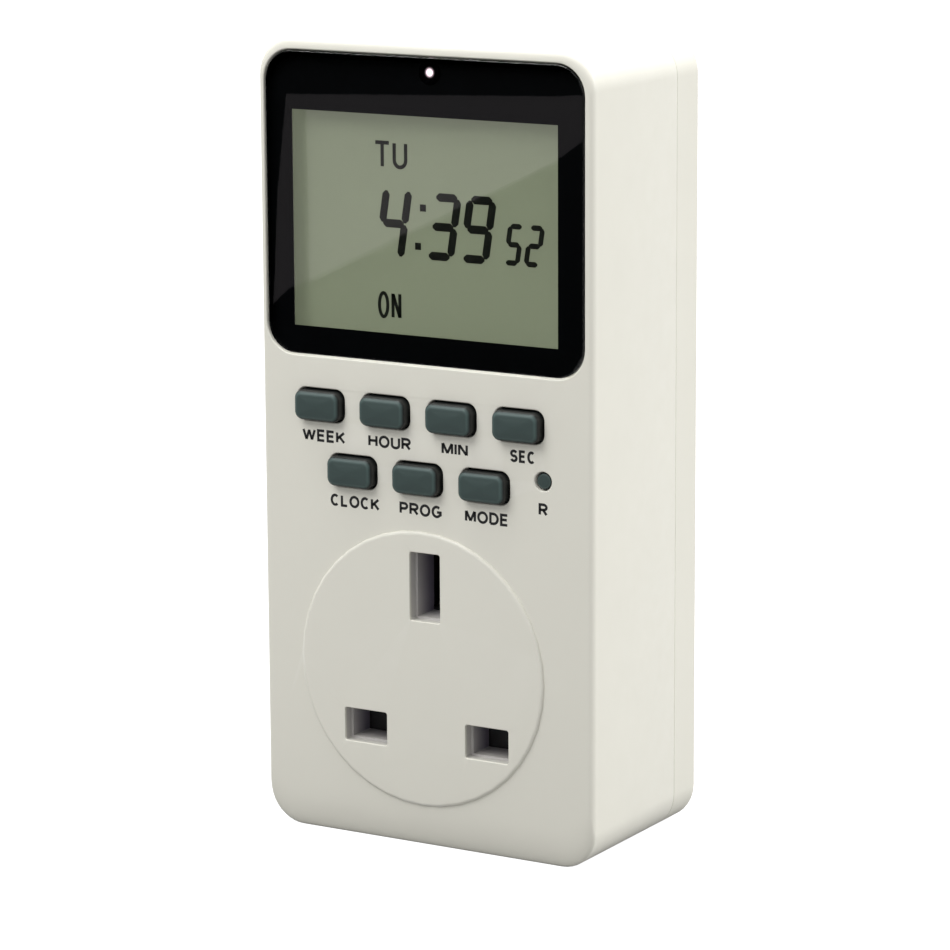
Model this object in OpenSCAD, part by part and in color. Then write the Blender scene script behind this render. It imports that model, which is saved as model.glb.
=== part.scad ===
// Plug-in weekly programmable timer with a switched 13 A socket outlet (BS 1363 plug and socket).
// Frame: the origin is the middle of the plug pins' pattern on the flat rear face.
// +Y points out of the rear face, along the plug pins. +X is to the right seen from the front. +Z is up.

/* [Body] */
// Width of the body
body_w = 60; // [59:0.5:62]
// Height of the body
body_h = 127; // [126:0.5:130]
// Depth of the body, rear face to front face
body_d = 34; // [33.5:0.5:36]
// Radius of the body's four upright corners
corner_r = 6.1; // [5:0.1:7]
// Radius of the soft edge round the front and rear faces
edge_r = 0.9; // [0.6:0.1:1]
// Wall thickness of both shells
wall = 2; // [1.8:0.1:2.2]
// Depth of the rear cover, rear face to seam
cover_d = 7.5; // [7:0.5:8]

// How far up from its foot the front face rolls back
low_roll = 6; // [1:0.5:6]
// How far down from its top the front face rolls back
top_roll = 1.6; // [0.9:0.1:1.6]

/* [Display] */
// Width of the clear lens
lens_w = 57; // [56:0.1:57.4]
// Height of the clear lens
lens_h = 47.7; // [47:0.1:48.2]
// Thickness of the clear lens
lens_t = 2; // [1.6:0.1:2]
// Corner radius of the lens
lens_r = 4.8; // [4:0.1:5.5]
// Middle of the lens, to the right of the body's middle
lens_x = -0.3; // [-0.5:0.1:0.5]
// Height of the lens's middle above the body's middle
lens_up = 37.55; // [37:0.05:37.8]
// Width of the display window
window_w = 47.7; // [46:0.1:48.2]
// Height of the display window
window_h = 34.1; // [33:0.1:35]
// Middle of the window, to the right of the body's middle
window_x = -0.8; // [-1:0.1:0.8]
// Height of the window's middle above the body's middle
window_up = 35.05; // [34.8:0.05:35.3]

/* [Keys] */
// Width of a key
key_w = 8.2; // [7.6:0.1:8.6]
// Height of a key
key_h = 4.7; // [4.4:0.1:5]
// How far a key stands out of the front face
key_out = 1.9; // [1.6:0.1:2.4]
// Gap round a key in its hole
key_gap = 0.3; // [0.2:0.05:0.4]
// Spacing of keys along a row
key_pitch = 12; // [11.8:0.1:12.2]
// Height of the upper row above the body's middle
upper_row = 5.8; // [5.5:0.1:6.2]
// Height of the lower row above the body's middle
lower_row = -4.3; // [-4.5:0.1:-4]

/* [Socket and plug] */
// How far the plug and socket pattern's middle is below the body's middle
pattern_drop = 33.8; // [33:0.1:34.5]
// Spacing of the live and neutral pins, and their distance below the earth pin
pin_pitch = 22.23; // [22.1:0.01:22.4]
// Diameter of the raised disc round the apertures
disc_dia = 44.4; // [43.5:0.1:46]
// Middle of the disc, to the right of the body's middle
disc_x = -0.9; // [-1.2:0.1:1.2]
// How far the disc stands out of the front face
disc_out = 0.4; // [0.2:0.1:0.6]
// Length of the earth pin
earth_len = 22.73; // [22.3:0.01:23.1]
// Length of the live and neutral pins
line_len = 17.7; // [17.2:0.1:18.2]
// How far the shutter slides down
shutter_travel = 6; // [5.8:0.1:6]

/* [Hidden] */
$fn = 64;
eps = 0.01;

// Depths are counted from the front face towards the rear, heights from the body's middle.
seam = body_d - cover_d;
ledge = lens_t + 2;            // back of the ledge that the lens sits on
board_front = 8.6;             // front face of the control board
board_t = 1.6;
board_back = board_front + board_t;
power_front = body_d - 5.1;    // front face of the power board
tunnel = 6.5;                  // depth of the walls round the pin apertures
shutter_front = 6.8;
shutter_back = 8.6;
wedge_foot = 7;                // height at which the wedge that the earth pin pushes begins
carrier_front = 9;
carrier_floor = 23.6;
carrier_back = 25.5;
pin_head = 3;
pin_block = carrier_back + pin_head;
pin_block_size = [40, 36];

mid = pattern_drop;            // the body's middle in the part's own frame
earth_z = pin_pitch / 2;
line_z = -pin_pitch / 2;
line_x = pin_pitch / 2;
disc_z = -1;

// Pins and apertures as [width, height]. An aperture's middle is a little off its pin's middle.
earth_pin_size = [4, 8];
line_pin_size = [6.35, 4];
earth_aperture = [5.5, 11];
earth_aperture_up = 1.2;
line_aperture = [7.8, 5.4];
line_aperture_down = 0.4;
aperture_wall = 1.2;
pin_bevel = 1.1;               // the bevel round a pin's tip, and its length along the pin
pin_bevel_len = 1.5;
sleeve_len = 9.5;              // sleeve outside the body, and the length hidden in the pin block
sleeve_hidden = 1.5;
sleeve_wall = 0.6;
rivet_r = 1.5;

case_screw_at = [[-24.5, 59], [24.5, 59], [-24.5, -58.5], [24.5, -58.5]];
board_screw_at = [[-24.8, 11.4], [24.8, 11.4], [-24.8, -6.8], [24.8, -6.8], [-14, 58.3], [14, 58.3]];
power_screw_at = [[-23.2, 50.6], [23.2, 50.6], [23.2, -3.4], [-4.6, -3.8]];
carrier_screw_at = [[-16, 9], [16, 9]];
case_pilot = 1.3;
small_pilot = 0.8;
case_boss_r = 2.9;             // boss in the front shell
cover_boss_r = 4;              // boss in the rear cover, with its clearance hole and head recess
case_clearance = 1.5;
case_recess_r = 2.9;
case_recess_deep = 3.2;
board_post_r = 2.1;
carrier_post_r = 2.4;
power_post_r = 2.4;
board_hole = 1;                // screw hole in a board or in the carrier
pilot_start = 3;               // depth at which a small pilot hole begins
lip_w = 1.3;                   // width of the cover's locating lip, and its length past the seam
lip_len = 1.5;
lip_gap = 0.15;
panel = [40, 26];              // blank label panel in the rear face
panel_up = 24;
panel_deep = 0.4;

key_left = -19.1;
lower_left = key_left + key_pitch / 2 - 0.1;
key_r = 1.3;
key_edge = 0.8;                // radius of a key's shoulders
key_flange = 0.75;             // how far a key's hidden flange stands out all round
flange_front = 3.6;
flange_back = 5;
key_back = 6.4;                // back of a key, and the end of the stud that closes its contact
stud_end = 7.4;
stud_r = 1.5;
reset_at = [21.1, -2.5];
reset_key_r = 1.25;
reset_top = 0.3;
reset_flange_r = 2.3;
reset_hole_r = 1.5;
key_at = [
  [key_left, upper_row], [key_left + key_pitch, upper_row],
  [key_left + 2 * key_pitch, upper_row], [key_left + 3 * key_pitch, upper_row],
  [lower_left, lower_row], [lower_left + key_pitch, lower_row], [lower_left + 2 * key_pitch, lower_row]
];

lens_seat = 0.2;               // gap round the lens, and the room behind it for print and glue
lens_front = 0.1;
lens_back = lens_t + 0.05;
print_t = 0.15;
led_at = [0.6, 58.95];          // middle of the lamp
led_r = 1.5;
led_hole_r = 1.7;
ledge_gap = 1.75;              // how much higher the ledge's opening is than the window, each side
ledge_w = 51.6;
glass_w = 52.4;
zebra_size = [48, 1.8];
zebra_off = 19.1;
relay_x = -16.6;
relay_up = 7;
relay_size = [15.2, 19.2];
relay_foot = 1.4;              // top of the relay's base
coil_up = relay_up - 3.2;
core_r = 1.5;
spool_r = 1.95;
flange_r = 4.2;
spring_top = -15.3;
lead_r = 1.1;                  // radius of a lead over its insulation
spring_foot = -24;

ivory = [0.9, 0.89, 0.84];
slate = [0.32, 0.39, 0.4];
brass_tint = [0.82, 0.67, 0.36];
tin_tint = [0.78, 0.79, 0.8];
board_green = [0.1, 0.36, 0.2];

// ---- Drawing aids -------------------------------------------------------------------------

// A flat outline drawn in X and Z, made solid from depth d0 to depth d1
module layer(d0, d1)
  translate([0, d1 - body_d, 0]) rotate([90, 0, 0]) linear_extrude(d1 - d0) children();

// The same, with heights counted from the body's middle
module body_layer(d0, d1) translate([0, 0, mid]) layer(d0, d1) children();

// A profile drawn as [depth, height], made solid from x0 to x1
module across(x0, x1)
  translate([x0, -body_d, 0]) rotate([90, 0, 90]) linear_extrude(x1 - x0) children();

// A profile drawn as [x, depth], made solid from height z0 to height z1
module upright(z0, z1)
  translate([0, -body_d, z0]) linear_extrude(z1 - z0) children();

// A turned profile, drawn as [radius, depth], whose axis runs front to back
module turned(at) translate([at[0], -body_d, at[1]]) rotate([-90, 0, 0]) rotate_extrude() children();

module rounded_rect(w, h, r) {
  square([w - 2 * r, h], center = true);
  square([w, h - 2 * r], center = true);
  for (x = [-1, 1], z = [-1, 1])
    translate([x * (w / 2 - r), z * (h / 2 - r)]) circle(r);
}

// The body's outline, drawn inwards by inset
module outline(inset)
  rounded_rect(body_w - 2 * inset, body_h - 2 * inset, corner_r - inset);

// One thin slice of the body at depth d, drawn inwards by inset
module slice(d, inset) body_layer(d, d + eps) outline(inset, $fn = 32);

// A block with the body's outline and a soft front edge, from the front face to the depth given
module soft_block(depth) hull() {
  for (a = [0 : 18 : 90]) slice(edge_r * (1 - sin(a)), edge_r * (1 - cos(a)));
  slice(depth - eps, 0);
}

// The front half's outer shape: its face rolls back over its lowest few millimetres, and less at its top
module front_block() hull() {
  for (a = [0 : 18 : 90]) {
    share = 1 - cos(a);
    body_layer(edge_r * (1 - sin(a)), edge_r * (1 - sin(a)) + eps)
      translate([0, (low_roll - top_roll) * share / 2])
        rounded_rect(body_w - 2 * edge_r * share, body_h - (low_roll + top_roll) * share,
                     corner_r - edge_r * share, $fn = 32);
  }
  slice(seam - eps, 0);
}

// A round bar along a smooth route: a ring of sides at every step, joined up and capped
function along(a, b, c, d, t) =
  0.5 * (2 * b + (c - a) * t + (2 * a - 5 * b + 4 * c - d) * t * t + (3 * b - a - 3 * c + d) * t * t * t);
function smooth(p, steps) = [
  for (i = [0 : len(p) - 2], s = [0 : steps - 1])
    along(p[max(i - 1, 0)], p[i], p[i + 1], p[min(i + 2, len(p) - 1)], s / steps),
  p[len(p) - 1]
];
function unit(v) = v / norm(v);
function heading(p, i) = unit(p[min(i + 1, len(p) - 1)] - p[max(i - 1, 0)]);
function ring(p, i, r, sides, guide) =
  let (h = heading(p, i), u = unit(cross(h, guide)), v = cross(h, u))
  [for (k = [0 : sides - 1]) p[i] + r * (cos(k * 360 / sides) * u + sin(k * 360 / sides) * v)];
module bar(p, r, sides = 8, guide = [1, 1, 1]) {
  last = len(p) - 1;
  corners = [for (i = [0 : last]) each ring(p, i, r, sides, guide)];
  walls = [
    for (i = [0 : last - 1], k = [0 : sides - 1])
      let (n = (k + 1) % sides, near = i * sides, far = near + sides)
      each [[near + k, far + k, far + n], [near + k, far + n, near + n]]
  ];
  caps = [[for (k = [0 : sides - 1]) k], [for (k = [sides - 1 : -1 : 0]) last * sides + k]];
  polyhedron(corners, concat(walls, caps), convexity = 6);
}

// A cross-recessed screw driven towards the front, with its head's outer face at depth d
module screw(at, d, head_r, head_t, shank_r, shank_len) {
  difference() {
    body_layer(d - head_t, d) translate(at) circle(head_r);
    body_layer(d - 0.6 * head_t, d + eps) translate(at) {
      square([1.3 * head_r, 0.25 * head_r], center = true);
      square([0.25 * head_r, 1.3 * head_r], center = true);
    }
  }
  body_layer(d - head_t - shank_len, d - head_t) translate(at) circle(shank_r);
}

// A screw driven towards the rear, with its head's outer face at depth d
module driven_back(at, d, head_r, head_t, shank_r, shank_len)
  translate([0, 2 * (d - body_d), 0]) mirror([0, 1, 0]) screw(at, d, head_r, head_t, shank_r, shank_len);

// ---- Casing -------------------------------------------------------------------------------

// The three apertures' outlines, made larger all round by grow
module apertures(grow) {
  more = [2 * grow, 2 * grow];
  translate([0, earth_z + earth_aperture_up]) square(earth_aperture + more, center = true);
  for (side = [-1, 1])
    translate([side * line_x, line_z - line_aperture_down]) square(line_aperture + more, center = true);
}

module front_shell() color(ivory) difference() {
  union() {
    difference() {
      union() {
        front_block();
        layer(-disc_out, 1) translate([disc_x, disc_z]) circle(d = disc_dia);
      }
      body_layer(wall, body_d) outline(wall);
    }
    body_layer(wall - eps, ledge) translate([0, lens_up]) square([body_w - 3, lens_h + 3], center = true);
    layer(wall - eps, tunnel) apertures(aperture_wall);
    for (at = case_screw_at) body_layer(wall - eps, seam) translate(at) circle(case_boss_r);
    for (at = board_screw_at) body_layer(wall - eps, board_front) translate(at) circle(board_post_r);
    for (at = carrier_screw_at) layer(wall - eps, carrier_front) translate(at) circle(carrier_post_r);
    layer(wall - eps, shutter_back) translate([0, spring_foot - 0.75]) square([9, 1.5], center = true);
  }
  body_layer(-eps, lens_t + lens_seat) translate([lens_x, lens_up])
    rounded_rect(lens_w + 2 * lens_seat, lens_h + 2 * lens_seat, lens_r + lens_seat);
  body_layer(lens_t, ledge + eps) translate([0, window_up])
    square([ledge_w, window_h + 2 * ledge_gap], center = true);
  body_layer(lens_t, ledge + eps) translate(led_at) circle(led_hole_r);
  layer(-1, tunnel + eps) apertures(0);
  for (at = key_at)
    body_layer(-1, wall + eps) translate(at)
      rounded_rect(key_w + 2 * key_gap, key_h + 2 * key_gap, key_r + key_gap);
  body_layer(-1, wall + eps) translate(reset_at) circle(reset_hole_r);
  for (at = case_screw_at) body_layer(seam - 14, seam + eps) translate(at) circle(case_pilot);
  for (at = board_screw_at) body_layer(pilot_start, board_front + eps) translate(at) circle(small_pilot);
  for (at = carrier_screw_at) layer(pilot_start, carrier_front + eps) translate(at) circle(small_pilot);
}

module pin_holes() {
  translate([0, earth_z]) square(earth_pin_size, center = true);
  for (side = [-1, 1]) translate([side * line_x, line_z]) square(line_pin_size, center = true);
}

module rear_cover() color(ivory) difference() {
  union() {
    difference() {
      translate([0, -body_d, 0]) mirror([0, 1, 0]) soft_block(cover_d);
      body_layer(seam - 1, seam + lip_len + 0.5) outline(wall + lip_w);
      body_layer(seam + lip_len, body_d - wall) outline(wall);
    }
    difference() {
      body_layer(seam - lip_len, seam + 0.5) outline(wall + lip_gap);
      body_layer(seam - lip_len - 1, seam + 1) outline(wall + lip_w);
      for (at = case_screw_at) body_layer(seam - lip_len - 1, seam) translate(at) circle(cover_boss_r + 0.3);
    }
    layer(pin_block, body_d - wall + eps) square(pin_block_size, center = true);
    for (at = case_screw_at) body_layer(seam, body_d - wall + eps) translate(at) circle(cover_boss_r);
    for (at = power_screw_at)
      body_layer(power_front + board_t, body_d - wall + eps) translate(at) circle(power_post_r);
  }
  layer(pin_block - eps, body_d + eps) pin_holes();
  for (at = case_screw_at) {
    body_layer(seam - eps, body_d) translate(at) circle(case_clearance);
    body_layer(body_d - case_recess_deep, body_d + eps) translate(at) circle(case_recess_r);
  }
  for (at = power_screw_at) body_layer(power_front, body_d - 0.8) translate(at) circle(small_pilot);
  body_layer(body_d - panel_deep, body_d + eps) translate([0, panel_up]) rounded_rect(panel[0], panel[1], 2);
}

// ---- Display ------------------------------------------------------------------------------

module display_lens() color([0.75, 0.8, 0.8, 0.35])
  body_layer(lens_front, lens_back) translate([lens_x, lens_up]) rounded_rect(lens_w, lens_h, lens_r);

module lens_mask() color([0.03, 0.03, 0.03]) difference() {
  body_layer(lens_back, lens_back + print_t) translate([lens_x, lens_up])
    rounded_rect(lens_w, lens_h, lens_r);
  body_layer(lens_back - 1, lens_back + 1) translate([window_x, window_up])
    square([window_w, window_h], center = true);
  body_layer(lens_back - 1, lens_back + 1) translate(led_at) circle(1);
}

// One sheet of the display, h high, from depth d0 to depth d1
module lcd_sheet(d0, d1, h)
  body_layer(d0, d1) translate([0, window_up]) square([glass_w, h], center = true);

module zebra_outline()
  for (side = [-1, 1]) translate([0, window_up + side * zebra_off]) square(zebra_size, center = true);

module lcd_frame() color([0.9, 0.9, 0.88]) difference() {
  body_layer(ledge, board_front) translate([0, window_up]) square([54.6, 42], center = true);
  body_layer(ledge - 1, 6.8) translate([0, window_up]) square([52.6, 40.6], center = true);
  body_layer(7.8, board_front + 1) translate([0, window_up]) square([50, 34], center = true);
  body_layer(5, board_front + 1) zebra_outline();
}

module lcd_front_glass() color([0.55, 0.58, 0.5]) lcd_sheet(4.2, 5.3, 40.4);
module lcd_rear_glass() color([0.55, 0.58, 0.5]) lcd_sheet(5.3, 6.4, 36);
module lcd_reflector() color([0.5, 0.54, 0.45]) lcd_sheet(6.4, 6.6, 36);
module zebra_strips() color([0.85, 0.6, 0.7]) body_layer(5.3, board_front) zebra_outline();

module status_led() color([1, 0.85, 0.88]) {
  turned(led_at + [0, mid]) {
    translate([0, 4]) square([led_r, 2.6]);
    translate([0, 6.1]) square([led_r + 0.3, 0.5]);
    intersection() {
      translate([0, 4]) circle(led_r);
      translate([0, 4 - led_r]) square([led_r, led_r + 0.1]);
    }
  }
  for (side = [-1, 1])
    body_layer(6.5, board_front) translate(led_at + [side * 0.9, 0]) square([0.5, 0.5], center = true);
}

// ---- Control board ------------------------------------------------------------------------

module control_board() color(board_green) difference() {
  body_layer(board_front, board_back) translate([0, 25.7]) rounded_rect(54.4, 69.8, 1);
  for (at = case_screw_at) body_layer(board_front - 1, board_back + 1) translate(at) circle(case_boss_r + 0.5);
  for (at = board_screw_at) body_layer(board_front - 1, board_back + 1) translate(at) circle(board_hole);
}

module controller_blob() color([0.05, 0.05, 0.05]) turned([-11, mid + 38]) intersection() {
  translate([0, board_back - 13]) circle(14.6, $fn = 240);
  translate([0, board_back]) square([9, 3]);
}

module clock_crystal() color(tin_tint) {
  translate([2.5, board_back + 1.1 - body_d, mid + 42]) cylinder(r = 1.1, h = 6.2);
  for (side = [-1, 1])
    translate([2.5 + side * 0.4, board_back + 0.4 - body_d, mid + 39.5]) cylinder(r = 0.2, h = 3);
}

module chip_parts() color([0.25, 0.22, 0.2]) {
  for (row = [0 : 3], column = [0 : 1])
    body_layer(board_back, board_back + 0.6)
      translate([2 + 3.4 * column, 24 + 3 * row]) square([2, 1.25], center = true);
  for (row = [0 : 4])
    body_layer(board_back, board_back + 0.6)
      translate([-22, 26 + 3 * row]) square([2, 1.25], center = true);
}

module backup_cell() color(tin_tint) turned([14, mid + 42]) {
  translate([0, board_back + 0.3]) square([7, 0.5]);
  translate([0, board_back + 0.8]) square([7.75, 4]);
  translate([0, board_back + 4.8]) square([5.6, 0.6]);
}

module cell_tabs() color([0.7, 0.71, 0.72]) {
  body_layer(board_back, board_back + 0.3) translate([14, 38]) square([4, 16], center = true);
  body_layer(board_back + 5.4, board_back + 5.7) translate([14, 45]) square([4, 16.4], center = true);
  body_layer(board_back, board_back + 5.4) translate([14, 53.05]) square([4, 0.3], center = true);
}

module ribbon_cable() color([0.75, 0.76, 0.78])
  let (span = power_front - board_back, steps = 24, half = 0.45,
       top = [for (i = [0 : steps])
         [board_back + span * i / steps, mid + 1 - 5 * pow(sin(180 * i / steps), 2)]])
    across(-2, 4.4) polygon(concat(
      [for (p = top) p + [0, half]],
      [for (i = [steps : -1 : 0]) top[i] - [0, half]]));

// ---- Keys ---------------------------------------------------------------------------------

// The mat that carries the keys' contacts, hollow behind each key
module keypad_mat() color(slate) difference() {
  union() {
    body_layer(7.6, board_front) translate([-0.8, 0.5]) square([47.4, 19.4], center = true);
    for (at = key_at) body_layer(5.2, 8) translate(at) rounded_rect(key_w + 3.4, key_h + 3.4, key_r + 0.7);
    body_layer(5.2, 8) translate(reset_at) circle(3.4);
  }
  for (at = key_at) {
    body_layer(5, 7.6) translate(at) rounded_rect(key_w + 2.2, key_h + 2.2, 1.6);
    body_layer(7, board_front + 1) translate(at) rounded_rect(5, 3.8, 1);
  }
  body_layer(5, 7.6) translate(reset_at) circle(2.7);
  body_layer(7, board_front + 1) translate(reset_at) circle(1.7);
  for (at = board_screw_at) body_layer(5, board_front + 1) translate(at) circle(2.4);
}

// One key: its shoulders are rounded where the three outlines meet
module key(number) color(slate) translate([key_at[number][0], 0, key_at[number][1]]) {
  intersection() {
    body_layer(-key_out, 4.5) rounded_rect(key_w, key_h, key_r);
    translate([0, 0, mid]) across(-key_w, key_w) translate([6 - key_out, 0]) rounded_rect(12, key_h, key_edge);
    upright(mid - key_h, mid + key_h) translate([0, 6 - key_out]) rounded_rect(key_w, 12, key_edge);
  }
  body_layer(flange_front, flange_back)
    rounded_rect(key_w + 2 * key_flange, key_h + 2 * key_flange, key_r + 0.3);
  body_layer(4.5, key_back) rounded_rect(key_w, key_h, key_r);
  body_layer(6, stud_end) circle(stud_r);
}

module key_week() key(0);
module key_hour() key(1);
module key_min() key(2);
module key_sec() key(3);
module key_clock() key(4);
module key_prog() key(5);
module key_mode() key(6);

module key_reset() color(slate) turned([reset_at[0], mid + reset_at[1]]) {
  translate([0, reset_top]) square([reset_key_r, key_back - reset_top]);
  translate([0, flange_front]) square([reset_flange_r, flange_back - flange_front]);
  translate([0, 6]) square([1.1, stud_end - 6]);
}

// ---- Socket -------------------------------------------------------------------------------

module socket_shutter() color([0.08, 0.08, 0.08]) {
  layer(shutter_front, shutter_back) {
    translate([0, -11.6]) square([32.4, 7.2], center = true);
    translate([0, -0.5]) square([6.4, 16], center = true);
  }
  across(-2.4, 2.4)
    polygon([
      [shutter_front, wedge_foot - 0.5], [shutter_front, wedge_foot],
      [shutter_front + shutter_travel, wedge_foot + shutter_travel],
      [shutter_front + shutter_travel, wedge_foot], [shutter_back, wedge_foot - 0.5]]);
}

module shutter_spring() color(tin_tint)
  let (turns = 6, per_turn = 12, coil_r = 1.15, wire_r = 0.2,
       low = spring_foot + wire_r, rise = spring_top - spring_foot - 2 * wire_r)
    bar([for (i = [0 : turns * per_turn])
      [coil_r * cos(360 * i / per_turn),
       (shutter_front + shutter_back) / 2 - body_d + coil_r * sin(360 * i / per_turn),
       low + rise * i / (turns * per_turn)]], wire_r, 6, [0, 0, 1]);

module contact_carrier() color([0.16, 0.16, 0.17]) difference() {
  layer(carrier_front, carrier_back) translate([0, -0.2]) square([42, 36.4], center = true);
  for (side = [-1, 1]) {
    layer(carrier_front - 1, carrier_floor) translate([side * line_x, line_z]) square([8.6, 8], center = true);
    layer(22.7, carrier_floor) translate([side * 20, line_z]) square([12, 4.2], center = true);
  }
  layer(carrier_front - 1, carrier_floor) translate([0, earth_z]) square([8, 11], center = true);
  layer(carrier_front - 1, 13.2) translate([0, earth_z - 7.5]) square([7, 12], center = true);
  layer(carrier_floor - 1, carrier_back + 1) {
    translate([0, earth_z]) circle(rivet_r);
    translate([-line_x, line_z]) circle(rivet_r);
  }
  for (at = carrier_screw_at) {
    layer(carrier_front - 1, carrier_back + 1) translate(at) circle(board_hole);
    layer(12, carrier_back + 1) translate(at) circle(2.2);
  }
}

// One springy leaf of a contact, drawn as [depth, distance from the pin's middle]
function leaf(tip) = [
  [carrier_floor - 0.8, 3], [tip + 4, 2.35], [tip + 2.6, 2.35], [tip, 3.1],
  [tip, 2.6], [tip + 2.6, 1.85], [tip + 4, 1.85], [carrier_floor - 0.8, 2.5]
];

module line_contact(side) color(brass_tint) {
  layer(carrier_floor - 0.8, carrier_floor)
    translate([side * (line_x + 4), line_z]) square([14, 3.8], center = true);
  layer(carrier_floor - 0.8, carrier_floor) translate([side * line_x, line_z]) square([6, 6], center = true);
  for (turn = [-1, 1])
    translate([0, 0, line_z]) across(side * line_x - 3, side * line_x + 3)
      polygon([for (p = leaf(10)) [p[0], turn * p[1]]]);
}

module live_contact() line_contact(1);
module neutral_contact() line_contact(-1);

module earth_contact() color(brass_tint) {
  layer(carrier_floor - 0.8, carrier_floor) translate([0, earth_z]) square([6, 8], center = true);
  for (turn = [-1, 1])
    upright(earth_z - 4, earth_z + 4) polygon([for (p = leaf(14)) [turn * p[1], p[0]]]);
}

// ---- Plug ---------------------------------------------------------------------------------

// A rectangular bar from the pin block to its tip, with its tip bevelled on all four sides
module pin_blade(size, length) {
  w = size[0];
  h = size[1];
  end = body_d + length;
  bevel_start = end - pin_bevel_len;
  intersection() {
    across(-w / 2, w / 2) polygon([
      [pin_block, -h / 2], [bevel_start, -h / 2], [end, pin_bevel - h / 2],
      [end, h / 2 - pin_bevel], [bevel_start, h / 2], [pin_block, h / 2]]);
    upright(-h / 2, h / 2) polygon([
      [-w / 2, pin_block], [-w / 2, bevel_start], [pin_bevel - w / 2, end],
      [w / 2 - pin_bevel, end], [w / 2, bevel_start], [w / 2, pin_block]]);
  }
}

module sleeve_zone() layer(body_d - sleeve_hidden, body_d + sleeve_len) children();
module pin_neck() square(line_pin_size - [2 * sleeve_wall, 2 * sleeve_wall], center = true);

module line_pin(side, riveted) color(brass_tint) {
  difference() {
    translate([side * line_x, 0, line_z]) pin_blade(line_pin_size, line_len);
    sleeve_zone() translate([side * line_x, line_z]) difference() {
      square(line_pin_size + [2, 2], center = true);
      pin_neck();
    }
  }
  layer(carrier_back, pin_block) translate([side * line_x, line_z]) square([9, 6.6], center = true);
  if (riveted) layer(carrier_floor, carrier_back) translate([side * line_x, line_z]) circle(rivet_r);
}

module live_pin() line_pin(1, false);
module neutral_pin() line_pin(-1, true);

module earth_pin() color(brass_tint) {
  translate([0, 0, earth_z]) pin_blade(earth_pin_size, earth_len);
  layer(carrier_back, pin_block) translate([0, earth_z]) square([7, 10.4], center = true);
  layer(carrier_floor, carrier_back) translate([0, earth_z]) circle(rivet_r);
}

module pin_sleeve(side) color([0.08, 0.08, 0.08])
  sleeve_zone() translate([side * line_x, line_z]) difference() {
    square(line_pin_size, center = true);
    pin_neck();
  }

module live_pin_sleeve() pin_sleeve(1);
module neutral_pin_sleeve() pin_sleeve(-1);

// ---- Power board --------------------------------------------------------------------------

// Solid standing on the power board, from low to high above the board, drawn in X and Z
module standing(low, high) body_layer(power_front - high, power_front - low) children();

module power_board() color([0.66, 0.55, 0.3]) difference() {
  body_layer(power_front, power_front + board_t) translate([0, 23.25]) rounded_rect(52, 60.5, 1);
  for (at = power_screw_at) body_layer(power_front - 1, power_front + 3) translate(at) circle(board_hole);
}

module relay_base() color([0.1, 0.1, 0.12])
  standing(0, relay_foot) translate([relay_x, relay_up]) square(relay_size, center = true);

module relay_cover() color([0.12, 0.28, 0.55]) difference() {
  standing(relay_foot, 15.2) translate([relay_x, relay_up]) square(relay_size, center = true);
  standing(1, 14.5) translate([relay_x, relay_up]) square(relay_size - [1.4, 1.4], center = true);
}

module relay_yoke() color(tin_tint) {
  standing(relay_foot, 2.6) translate([relay_x, relay_up - 4.2]) square([9, 9.2], center = true);
  standing(relay_foot, 12.4) translate([relay_x, relay_up - 8.25]) square([9, 1.1], center = true);
  standing(2, 11.3) translate([relay_x, coil_up]) circle(core_r);
  standing(11.3, 12) translate([relay_x, coil_up]) circle(2.5);
}

module relay_bobbin() color([0.85, 0.84, 0.8]) difference() {
  union() {
    standing(2.6, 3.3) translate([relay_x, coil_up]) circle(flange_r);
    standing(3, 11) translate([relay_x, coil_up]) circle(spool_r);
    standing(10.4, 11) translate([relay_x, coil_up]) circle(flange_r);
  }
  standing(2, 12) translate([relay_x, coil_up]) circle(core_r);
}

module relay_winding() color([0.72, 0.4, 0.2]) difference() {
  standing(3.3, 10.4) translate([relay_x, coil_up]) circle(flange_r - 0.3);
  standing(3, 11) translate([relay_x, coil_up]) circle(spool_r);
}

module relay_armature() color([0.7, 0.72, 0.74]) {
  standing(12.5, 13.4) translate([relay_x, relay_up - 3.6]) square([8.4, 9.8], center = true);
  standing(12.8, 13.1) translate([relay_x, relay_up + 3.8]) square([3.6, 7.4], center = true);
  standing(11.9, 12.8) translate([relay_x, relay_up + 6.5]) circle(0.9);
}

module relay_contact() color(brass_tint) {
  standing(relay_foot, 10.2) translate([relay_x, relay_up + 7.4]) square([3.6, 0.5], center = true);
  standing(9.8, 10.2) translate([relay_x, relay_up + 6.5]) square([3.6, 2.3], center = true);
  standing(10.2, 10.9) translate([relay_x, relay_up + 6.5]) circle(0.9);
}

module film_capacitor() color([0.85, 0.72, 0.25])
  standing(0.2, 14.5) translate([-15, 26.5]) rounded_rect(18, 8.5, 0.8);

module electrolytic_capacitor() color([0.12, 0.13, 0.2])
  turned([16, mid + 22]) {
    translate([0, power_front - 12]) square([4, 9.4]);
    translate([0, power_front - 2.8]) square([3.6, 0.9]);
    translate([0, power_front - 2]) square([4, 1.7]);
  }

module varistor() color([0.15, 0.3, 0.6]) {
  translate([14, power_front - 7 - body_d, mid + 5]) rotate([0, 90, 0]) cylinder(r = 4.8, h = 3.8);
  for (side = [-1, 1])
    standing(0, 4) translate([15.9 + side * 0.9, 5 + side * 2.6]) square([0.7, 0.7], center = true);
}

module rectifier_diodes() color([0.07, 0.07, 0.07])
  for (i = [0 : 3]) translate([2 + 5 * i, power_front - 1.6 - body_d, mid + 34]) {
    cylinder(r = 1.35, h = 5.2);
    translate([0, 0, -2]) cylinder(r = 0.4, h = 9.2);
    for (z = [-1.9, 7.1]) translate([0, 0, z]) rotate([-90, 0, 0]) cylinder(r = 0.4, h = 1.6);
  }

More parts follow.
